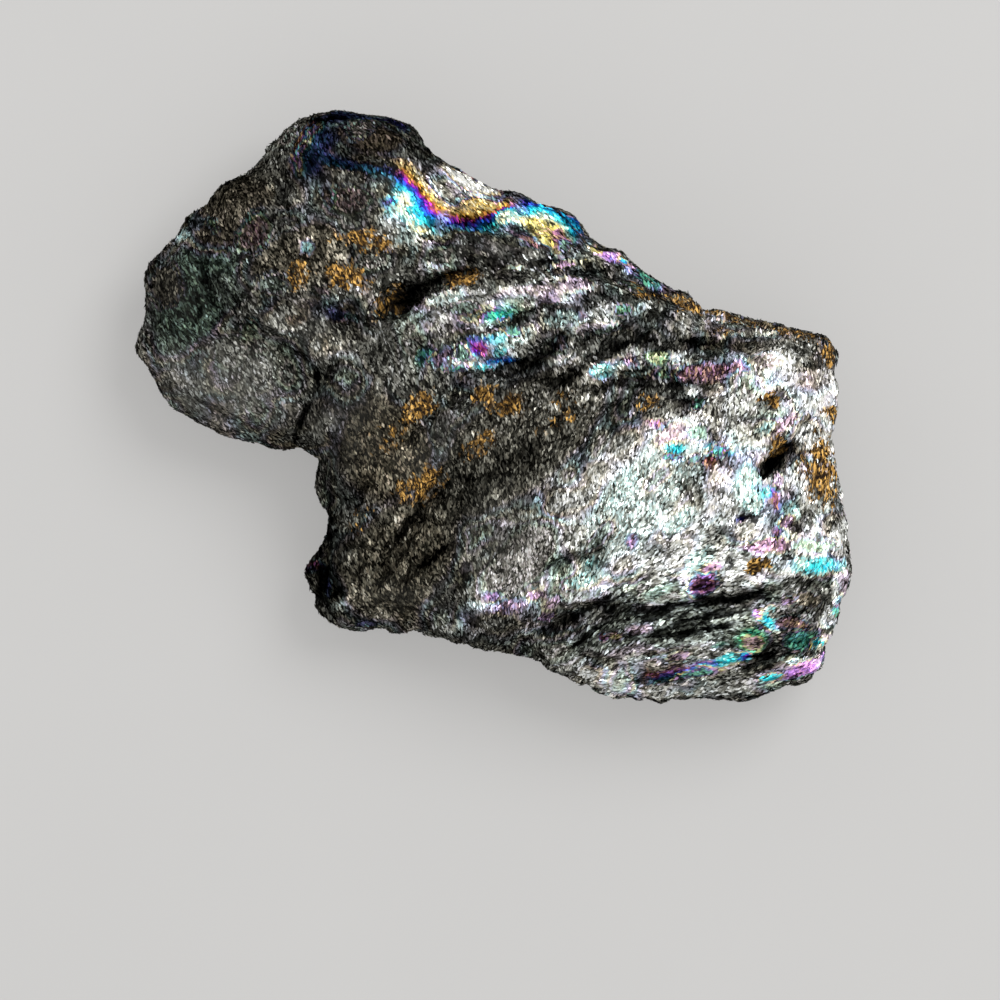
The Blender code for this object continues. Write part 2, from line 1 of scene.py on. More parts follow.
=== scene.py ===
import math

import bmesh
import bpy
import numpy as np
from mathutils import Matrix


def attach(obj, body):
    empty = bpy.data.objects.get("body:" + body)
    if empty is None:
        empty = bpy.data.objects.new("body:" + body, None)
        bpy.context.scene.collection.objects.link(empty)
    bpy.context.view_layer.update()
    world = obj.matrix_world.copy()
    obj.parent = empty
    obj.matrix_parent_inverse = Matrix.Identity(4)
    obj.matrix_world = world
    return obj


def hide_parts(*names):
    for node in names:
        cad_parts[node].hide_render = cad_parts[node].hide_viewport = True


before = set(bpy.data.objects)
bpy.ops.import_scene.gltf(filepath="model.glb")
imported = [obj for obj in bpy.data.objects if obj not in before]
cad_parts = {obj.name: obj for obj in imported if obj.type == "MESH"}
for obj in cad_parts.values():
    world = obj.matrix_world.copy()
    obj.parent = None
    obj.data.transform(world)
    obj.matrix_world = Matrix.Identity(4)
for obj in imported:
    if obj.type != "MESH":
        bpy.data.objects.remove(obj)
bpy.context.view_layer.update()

# A chunk of foliated specular hematite: steel grey plates a few tenths of a millimetre long, drawn
# out along the folds of the rock, with a rainbow tarnish along one edge and rust in the hollows.
# The tables give places on a drawing seen from above, sixteen steps to the millimetre, x to the
# right and y down; their angles are in degrees, anticlockwise from x. A name that ends in Mm holds
# millimetres.

millimetre = 0.001

drawing = {
    "stepsPerMm": 16.0,
    "middle": 500.0,
    "turn": math.radians(27.0),  # from the drawing to the frame
    "centreMm": (-1.94, 3.39),  # middle of the turned chunk
}


# drawing steps to millimetres from the middle of the drawing, y up
def toPlan(points):
    table = np.array([(point[0], point[1]) for point in points], float)
    return (table - drawing["middle"]) * (1.0, -1.0) / drawing["stepsPerMm"]


# x and y turned back by an angle, from the frame to the drawing where none is given
def turnedBack(x, y, turn=drawing["turn"]):
    c, s = math.cos(turn), math.sin(turn)
    return np.stack([x * c + y * s, y * c - x * s], axis=1)


# places in the frame, in metres, to the same plan
def planOf(places):
    return turnedBack(places[:, 0] / millimetre + drawing["centreMm"][0],
                      places[:, 1] / millimetre + drawing["centreMm"][1])


# the way to a place that lies at an angle around and an angle up, in degrees
def direction(turn, rise):
    a, e = math.radians(turn), math.radians(rise)
    return np.array([math.cos(a) * math.cos(e), math.sin(a) * math.cos(e), math.sin(e)])


# the value between the corners of a cell, in a table that joins up with itself at its edges
def betweenCorners(table, i, j, fu, fv):
    nextI, nextJ = (i + 1) % table.shape[0], (j + 1) % table.shape[1]
    near = table[i, j] * (1 - fu) + table[nextI, j] * fu
    far = table[i, nextJ] * (1 - fu) + table[nextI, nextJ] * fu
    return near * (1 - fv) + far * fv


# smooth noise between -1 and 1 on a lattice of fixed random values
def softNoise(u, v, seed):
    size = 256
    lattice = np.random.default_rng(seed).random((size, size)) * 2.0 - 1.0
    i, j = np.floor(u).astype(int), np.floor(v).astype(int)
    fu, fv = u - i, v - j
    fu, fv = fu * fu * (3.0 - 2.0 * fu), fv * fv * (3.0 - 2.0 * fv)
    return betweenCorners(lattice, i % size, j % size, fu, fv)


# the same noise over the plan, in patches of one size in mm
def patches(plan, size, seed):
    return softNoise(plan[:, 0] / size, plan[:, 1] / size, seed)


# distance from each place to a line in mm, positive on the left of its direction, and how far
# along the line the nearest point is, from 0 to 1
def alongLine(points, plan):
    line = toPlan(points)
    lengths = np.hypot(*(line[1:] - line[:-1]).T)
    nearest = np.full(len(plan), np.inf)
    side = np.ones(len(plan))
    reached = np.zeros(len(plan))
    covered = 0.0
    for start, end, length in zip(line[:-1], line[1:], lengths):
        run = end - start
        offset = plan - start
        part = np.clip(offset @ run / (run @ run), 0.0, 1.0)
        gap = offset - part[:, None] * run
        distance = np.hypot(gap[:, 0], gap[:, 1])
        closer = distance < nearest
        nearest = np.where(closer, distance, nearest)
        side = np.where(closer, np.sign(run[0] * offset[:, 1] - run[1] * offset[:, 0]), side)
        reached = np.where(closer, (covered + part * length) / lengths.sum(), reached)
        covered += length
    return nearest * side, reached


# share of an oval spot that reaches each place: 1 in the middle, 0 outside
def spotShare(spot, plan, hardness):
    x, y, long, across, angle = spot[:5]
    offset = plan - toPlan([(x, y)])[0]
    u, v = turnedBack(offset[:, 0], offset[:, 1], math.radians(angle)).T
    scale = drawing["stepsPerMm"]
    return np.clip(hardness * (1.0 - np.hypot(u / (long / scale), v / (across / scale))), 0.0, 1.0)


# a straight rise from 0 to 1 over the values
def risen(values, gain, start):
    return np.clip(values * gain + start, 0.0, 1.0)


print("1 drawing ready")

# the grain: in which direction the plates are drawn out

grain = {
    "angles": [  # x, y, angle
        (190, 380, -20), (200, 260, 65), (300, 200, 30), (370, 140, -12), (500, 215, -18),
        (540, 270, -4), (360, 380, 50), (350, 580, 62), (410, 530, 54), (500, 380, 38),
        (600, 330, 18), (700, 370, 4), (620, 490, 48), (520, 560, 46), (740, 440, 38),
        (800, 380, 14), (820, 500, 62), (580, 640, 34), (700, 620, 14), (760, 690, 8),
    ],
    "headings": [  # x, y, angle: how single plates lie, steeper than the folds they build
        (190, 380, 122), (200, 260, 118), (300, 200, 118), (370, 140, 112), (500, 215, 120),
        (540, 270, 116), (360, 380, 112), (350, 580, 112), (410, 530, 104), (500, 380, 102),
        (600, 330, 104), (700, 370, 88), (620, 490, 72), (520, 560, 92), (740, 440, 72),
        (800, 380, 80), (820, 500, 78), (560, 600, 80), (580, 650, 60), (640, 622, 20),
        (720, 618, 12), (690, 660, 24), (820, 640, 60), (640, 690, 24), (760, 690, 10),
    ],
    "reachMm": 3.0,
    "cellMm": 1.75,
    "lowMm": (-26.0, -15.5),
    "cells": (30, 25),
    "alignment": 12.0,  # how strictly v keeps its value along the grain
    "stiffness": 0.04,
}


# a value between spots, weighted by distance
def between(spots, plan, reachMm):
    anchors = toPlan(spots)
    values = np.array([spot[2] for spot in spots], float)
    apart = ((plan[:, None, :] - anchors[None, :, :]) ** 2).sum(axis=2)
    apart -= apart.min(axis=1, keepdims=True)
    weight = np.exp(-apart / (2.0 * reachMm ** 2))
    return (weight * values).sum(axis=1) / weight.sum(axis=1)


# two sheets over the plan, u along the given directions and v across them, both in mm: least
# squares on a grid
def solveFlow(spots):
    nx, ny = grain["cells"]
    step = grain["cellMm"]
    number = np.arange((nx + 1) * (ny + 1)).reshape(nx + 1, ny + 1)
    low, right = number[:-1, :-1].ravel(), number[1:, :-1].ravel()
    up, corner = number[:-1, 1:].ravel(), number[1:, 1:].ravel()
    rows = np.arange(nx * ny)
    slopeX = np.zeros((nx * ny, number.size))
    slopeY = np.zeros((nx * ny, number.size))
    for nodes, signX, signY in ((low, -1, -1), (right, 1, -1), (up, -1, 1), (corner, 1, 1)):
        slopeX[rows, nodes] += signX * 0.5 / step
        slopeY[rows, nodes] += signY * 0.5 / step
    cellX, cellY = np.meshgrid(np.arange(nx) + 0.5, np.arange(ny) + 0.5, indexing="ij")
    middles = np.stack([cellX.ravel(), cellY.ravel()], axis=1) * step + grain["lowMm"]
    angle = np.radians(between(spots, middles, grain["reachMm"]))[:, None]
    along = slopeX * np.cos(angle) + slopeY * np.sin(angle)
    across = slopeY * np.cos(angle) - slopeX * np.sin(angle)
    twist = np.zeros((nx * ny, number.size))
    for nodes, sign in ((low, 1), (right, -1), (up, -1), (corner, 1)):
        twist[rows, nodes] += sign
    square = along.T @ along
    crossSquare = across.T @ across
    firm = grain["stiffness"] * (twist.T @ twist) + 1e-6 * np.eye(number.size)
    one = np.ones(nx * ny)
    u = np.linalg.solve(square + crossSquare + firm, along.T @ one)
    v = np.linalg.solve(grain["alignment"] * square + crossSquare + firm, across.T @ one)
    return u.reshape(number.shape), v.reshape(number.shape)


def readSheet(sheet, plan):
    spot = (plan - grain["lowMm"]) / grain["cellMm"]
    spot = np.clip(spot, 0.0, np.array(sheet.shape) - 1.001)  # never past the last cell
    i, j = np.floor(spot).astype(int).T
    fu, fv = (spot - np.floor(spot)).T
    return betweenCorners(sheet, i, j, fu, fv)


foldU, foldV = solveFlow(grain["angles"])
strokeU, strokeV = solveFlow(grain["headings"])
print("2 grain laid out, u %.1f to %.1f mm" % (foldU.min(), foldU.max()))

# the rock under the plates

rock = {
    "weldM": 1e-7,  # corners nearer than this are one
    "voxelMm": 0.165,
    "softening": 2,
    "triangles": 190000,  # kept of the finished surface, most of them where it is rough
    "coarse": [  # x, y, how far plate edges stand out, as a share
        (190, 380, 0.25), (260, 400, 0.25), (160, 330, 0.4), (200, 270, 0.8), (260, 220, 0.8),
        (310, 190, 0.6), (365, 135, 0.25), (420, 200, 0.3), (320, 290, 0.7), (480, 250, 0.8),
        (600, 290, 0.9), (540, 350, 1.0), (420, 360, 0.5), (400, 440, 0.7), (360, 560, 1.0),
        (430, 540, 0.9), (520, 440, 0.7), (600, 500, 0.5), (680, 480, 0.45), (700, 380, 0.9),
        (780, 370, 0.6), (800, 470, 0.8), (810, 610, 1.0), (740, 570, 0.8), (700, 630, 1.0),
        (600, 650, 1.0), (560, 580, 0.7), (700, 340, 0.9), (470, 600, 0.8),
    ],
    "coarseReachMm": 2.4,
    "layers": [  # length, width and height in mm, seed
        (3.4, 0.70, 0.16, 11), (1.6, 0.36, 0.10, 23), (0.7, 0.24, 0.06, 37),
    ],
    "layerLean": 0.8,  # how far the layers shift across the grain for each mm of height
    "layerCrest": (0.35, 1.3),  # level of a layer's crest, and the fall from it
    "lumpy": (0.85, 0.07, 51),  # size and height in mm, seed
    "chips": [  # length, width and height in mm, seed: cells whose tops stand at their own heights
        (1.6, 0.75, 0.13, 61), (0.8, 0.36, 0.07, 67),
    ],
    "chipLeast": 0.35,  # share of the chips' height where the rock is smoothest
    "chipTilt": 1.8,
    "grooveWander": [(0.7, 0.16, 77), (0.28, 0.12, 78)],  # size and shift in mm, seed
    "grooveDepth": (0.9, 0.75, 0.9, 79),  # size in mm, mean and swing of the depth, seed
    "grooveMost": (0.1, 1.15),
    "grooveEnd": 6.0,  # a groove has its full width over all but a sixth of it at each end
    "grooveEndLeast": 0.15,
    "grooveShape": 0.8,
    "grooveUpward": (1.6, -0.1),  # they run out on steep walls
}

# fine grooves: name, points, depth in mm, half-width in mm
grooves = [
    ("shortCrack", [(341, 361), (331, 374), (319, 386)], 0.45, 0.22),
    ("crestFoot", [(430, 281), (455, 275), (476, 271), (520, 268), (560, 266), (600, 270),
                   (640, 286), (682, 308)], 0.5, 0.3),
    ("crestHair", [(420, 318), (452, 306), (490, 300), (530, 296)], 0.2, 0.16),
    ("veinA", [(496, 331), (515, 322), (535, 314), (565, 307), (603, 297)], 0.45, 0.26),
    ("veinB", [(462, 393), (490, 377), (520, 367), (545, 352), (566, 337), (590, 340)], 0.6, 0.34),
    ("veinC", [(516, 410), (540, 394), (560, 380), (590, 361), (625, 346), (650, 337),
               (668, 321)], 0.7, 0.36),
    ("veinD", [(575, 402), (602, 388), (640, 384), (680, 388), (706, 388), (722, 380)], 0.6, 0.34),
    ("veinE", [(672, 344), (700, 341), (726, 343), (752, 335), (800, 338)], 0.5, 0.24),
    ("veinF", [(752, 403), (766, 401), (792, 396)], 0.4, 0.18),
    ("faceEdge", [(560, 470), (585, 446), (612, 425), (640, 410), (670, 400), (700, 395)], 0.35, 0.3),
    ("midFoldA", [(404, 448), (428, 424), (452, 404), (476, 388)], 0.5, 0.3),
    ("midFoldB", [(430, 470), (458, 440), (490, 418), (516, 404)], 0.4, 0.26),
    ("rustGroove", [(368, 578), (380, 556), (397, 533), (416, 517), (428, 498), (437, 480)],
     0.6, 0.34),
    ("lowGroove", [(396, 592), (414, 569), (432, 556), (456, 543)], 0.5, 0.3),
    ("leftHairA", [(352, 600), (362, 572), (378, 540), (392, 515)], 0.4, 0.22),
    ("leftHairB", [(338, 560), (346, 528), (360, 496), (376, 470)], 0.4, 0.22),
    ("faceCrack", [(518, 594), (540, 578), (560, 562), (590, 549), (612, 546)], 0.5, 0.24),
    ("faceHair", [(596, 604), (618, 590), (650, 570), (672, 556)], 0.25, 0.18),
    ("faceSeam", [(738, 534), (731, 552), (728, 570), (718, 588)], 0.5, 0.24),
    ("footStep", [(505, 652), (522, 640), (557, 621), (600, 610), (650, 611), (700, 608),
                  (735, 600), (775, 594)], 0.7, 0.36),
    ("ledgeHair", [(560, 652), (600, 640), (650, 640), (690, 636), (730, 622)], 0.4, 0.24),
    ("terraceFoot", [(640, 686), (690, 678), (730, 670), (760, 660), (788, 646)], 0.55, 0.28),
    ("lipHairA", [(650, 694), (690, 688), (740, 690), (790, 680)], 0.35, 0.16),
    ("lipHairB", [(690, 697), (740, 697), (790, 689)], 0.3, 0.14),
    ("endGroove", [(784, 522), (802, 529), (826, 534)], 0.5, 0.26),
    ("headGroove", [(200, 258), (207, 290), (217, 314)], 0.4, 0.28),
    ("headHairA", [(232, 214), (246, 246), (268, 276)], 0.35, 0.24),
    ("headHairB", [(276, 178), (286, 206), (300, 236)], 0.35, 0.24),
    ("kneeHair", [(420, 246), (450, 240), (500, 246), (545, 250)], 0.35, 0.22),
]


# a tilted flat top for each cell of a jittered lattice, between -1 and 1
def chipped(u, v, seed):
    size = 256
    table = np.random.default_rng(seed).random((5, size, size))
    i0, j0 = np.floor(u).astype(int), np.floor(v).astype(int)
    nearest = np.full(len(u), np.inf)
    height = np.zeros(len(u))
    for di in (-1, 0, 1):
        for dj in (-1, 0, 1):
            i, j = (i0 + di) % size, (j0 + dj) % size
            offsetU = u - (i0 + di + table[0, i, j])
            offsetV = v - (j0 + dj + table[1, i, j])
            apart = offsetU ** 2 + offsetV ** 2
            level = table[2, i, j] * 2.0 - 1.0
            tilt = (table[3, i, j] - 0.5) * offsetU + (table[4, i, j] - 0.5) * offsetV
            level += rock["chipTilt"] * tilt
            closer = apart < nearest
            nearest = np.where(closer, apart, nearest)
            height = np.where(closer, level, height)
    return height


def readAll(items, name, kind=float):
    values = np.empty(len(items), kind)
    items.foreach_get(name, values)
    return values


def readRows(items, name, width, kind=float):
    values = np.empty(len(items) * width, kind)
    items.foreach_get(name, values)
    return values.reshape(-1, width)


# places, normals and the two ends of each edge
def meshArrays(mesh):
    return (readRows(mesh.vertices, "co", 3), readRows(mesh.vertices, "normal", 3),
            readRows(mesh.edges, "vertices", 2, np.int64))


# mean of each vertex's neighbours, repeated
def softened(values, ends, rounds):
    count = len(values)
    met = np.bincount(ends.ravel(), minlength=count).astype(float)
    result = values.copy()
    for _ in range(rounds):
        total = np.empty_like(result)
        for column in range(result.shape[1]):
            total[:, column] = (np.bincount(ends[:, 0], result[ends[:, 1], column], count)
                                + np.bincount(ends[:, 1], result[ends[:, 0], column], count))
        result = total / met[:, None]
    return result


def evaluatedMesh(obj, name):
    graph = bpy.context.evaluated_depsgraph_get()
    graph.update()
    mesh = bpy.data.meshes.new_from_object(obj.evaluated_get(graph), depsgraph=graph)
    mesh.name = name
    return mesh


def trianglesOf(mesh):
    return sum(len(p.vertices) - 2 for p in mesh.polygons)


def newObject(name, data):
    obj = bpy.data.objects.new(name, data)
    bpy.context.scene.collection.objects.link(obj)
    return obj


def rockMesh():
    bm = bmesh.new()
    bm.from_mesh(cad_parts["hematite"].data)
    bmesh.ops.remove_doubles(bm, verts=bm.verts, dist=rock["weldM"])
    mesh = bpy.data.meshes.new("rockBlank")
    bm.to_mesh(mesh)
    bm.free()
    obj = newObject("rockSurface", mesh)
    remesh = obj.modifiers.new("remesh", "REMESH")
    remesh.mode = "VOXEL"
    remesh.voxel_size = rock["voxelMm"] * millimetre
    fine = evaluatedMesh(obj, "rockSurface")
    obj.modifiers.remove(remesh)
    obj.data = fine
    return obj


def carveRock(mesh):
    places, normals, ends = meshArrays(mesh)
    places = softened(places, ends, rock["softening"])
    plan = planOf(places)
    u, v = readSheet(foldU, plan), readSheet(foldV, plan)
    height = np.zeros(len(places))
    coarse = between(rock["coarse"], plan, rock["coarseReachMm"])
    layerPlace = v + places[:, 2] / millimetre * rock["layerLean"]
    crest, fall = rock["layerCrest"]
    for length, width, tall, seed in rock["layers"]:
        wave = softNoise(u / length, layerPlace / width, seed)
        height += tall * coarse * (crest - np.abs(wave) * fall)
    chipShare = rock["chipLeast"] + (1.0 - rock["chipLeast"]) * coarse
    for length, width, tall, seed in rock["chips"]:
        height += tall * chipShare * chipped(u / length, layerPlace / width, seed)
    size, tall, seed = rock["lumpy"]
    height += tall * softNoise(plan[:, 0] / size, plan[:, 1] / size + places[:, 2] / millimetre, seed)
    ragged = sum(shift * patches(plan, size, seed) for size, shift, seed in rock["grooveWander"])
    upward = risen(normals[:, 2], *rock["grooveUpward"])
    size, mean, swing, seed = rock["grooveDepth"]
    broken = np.clip(mean + swing * patches(plan, size, seed), *rock["grooveMost"])
    for _, points, depth, halfWidth in grooves:
        distance, reached = alongLine(points, plan)
        taper = rock["grooveEnd"] * np.minimum(reached, 1.0 - reached)
        taper = np.clip(taper, rock["grooveEndLeast"], 1.0)
        share = np.clip(1.0 - np.abs(distance + ragged) / (halfWidth * taper), 0.0, 1.0)
        height -= depth * broken * upward * taper * share ** rock["grooveShape"]
    places = places + normals * height[:, None] * millimetre
    places[:, 2] = np.maximum(places[:, 2], 0.0)
    mesh.vertices.foreach_set("co", places.ravel())
    mesh.update()


rockPiece = rockMesh()
carveRock(rockPiece.data)
print("3 rock carved, triangles", trianglesOf(rockPiece.data))

# tarnish, rust, lustre with painted highlight and shade, and painted shade in hollows and depths are
# worked out for each vertex of the rock and held as attributes

# rainbow bands: points along a line; its profile gives steps off the line, positive above it, and
# the film there; fades out past the ends of the profile
bands = {
    "knobRim": {
        "points": [(300, 176), (302, 152), (312, 134), (328, 122)],
        "profile": [(-24, 0.3), (-12, 0.335), (-3, 0.36), (3, 0.79), (8, 0.16), (14, 0.2)],
        "share": 0.85,
    },
    "knobTop": {
        "points": [(318, 120), (350, 113), (384, 114), (414, 128)],
        "profile": [(-9, 0.3), (0, 0.33), (8, 0.35)],
        "share": 0.8,
    },
    "knobFoot": {
        "points": [(318, 154), (345, 163), (376, 171), (402, 176)],
        "profile": [(-9, 0.44), (-4, 0.38), (0, 0.34), (6, 0.3)],
        "share": 0.9,
    },
    "rainbow": {
        "points": [(392, 172), (406, 177), (415, 186), (424, 199), (434, 210), (447, 218)],
        "profile": [
            (-32, 0.51), (-26, 0.49), (-21, 0.455), (-16, 0.41), (-10, 0.388), (-5, 0.34), (-2, 0.285),
            (1, 0.25), (4, 0.19), (7, 0.14), (11, 0.08), (15, 0.02),
        ],
        "share": 1.0,
    },
    "rainbowFoot": {
        "points": [(443, 217), (462, 223), (478, 226), (493, 222), (504, 214), (518, 206)],
        "profile": [
            (-12, 0.42), (-8, 0.37), (-4, 0.33), (0, 0.285), (3, 0.225), (6, 0.165), (12, 0.13),
            (17, 0.05),
        ],
        "share": 1.0,
    },
    "secondBow": {
        "points": [(514, 205), (526, 200), (545, 198), (562, 205), (576, 217), (590, 236)],
        "profile": [
            (-44, 0.575), (-26, 0.56), (-20, 0.52), (-16, 0.46), (-12, 0.4), (-6, 0.375), (-1, 0.345),
            (6, 0.33),
        ],
        "share": 1.0,
    },
    "edgeBow": {
        "points": [(590, 240), (606, 250), (626, 262), (648, 276), (668, 292)],
        "profile": [(-11, 0.76), (0, 0.66), (8, 0.5)],
        "share": 0.8,
    },
    "lowBow": {
        "points": [(642, 677), (664, 674), (690, 667), (714, 662), (738, 656), (758, 650)],
        "profile": [(-12, 0.78), (-7, 0.4), (-3, 0.31), (0, 0.255), (5, 0.225)],
        "share": 0.9,
    },
}

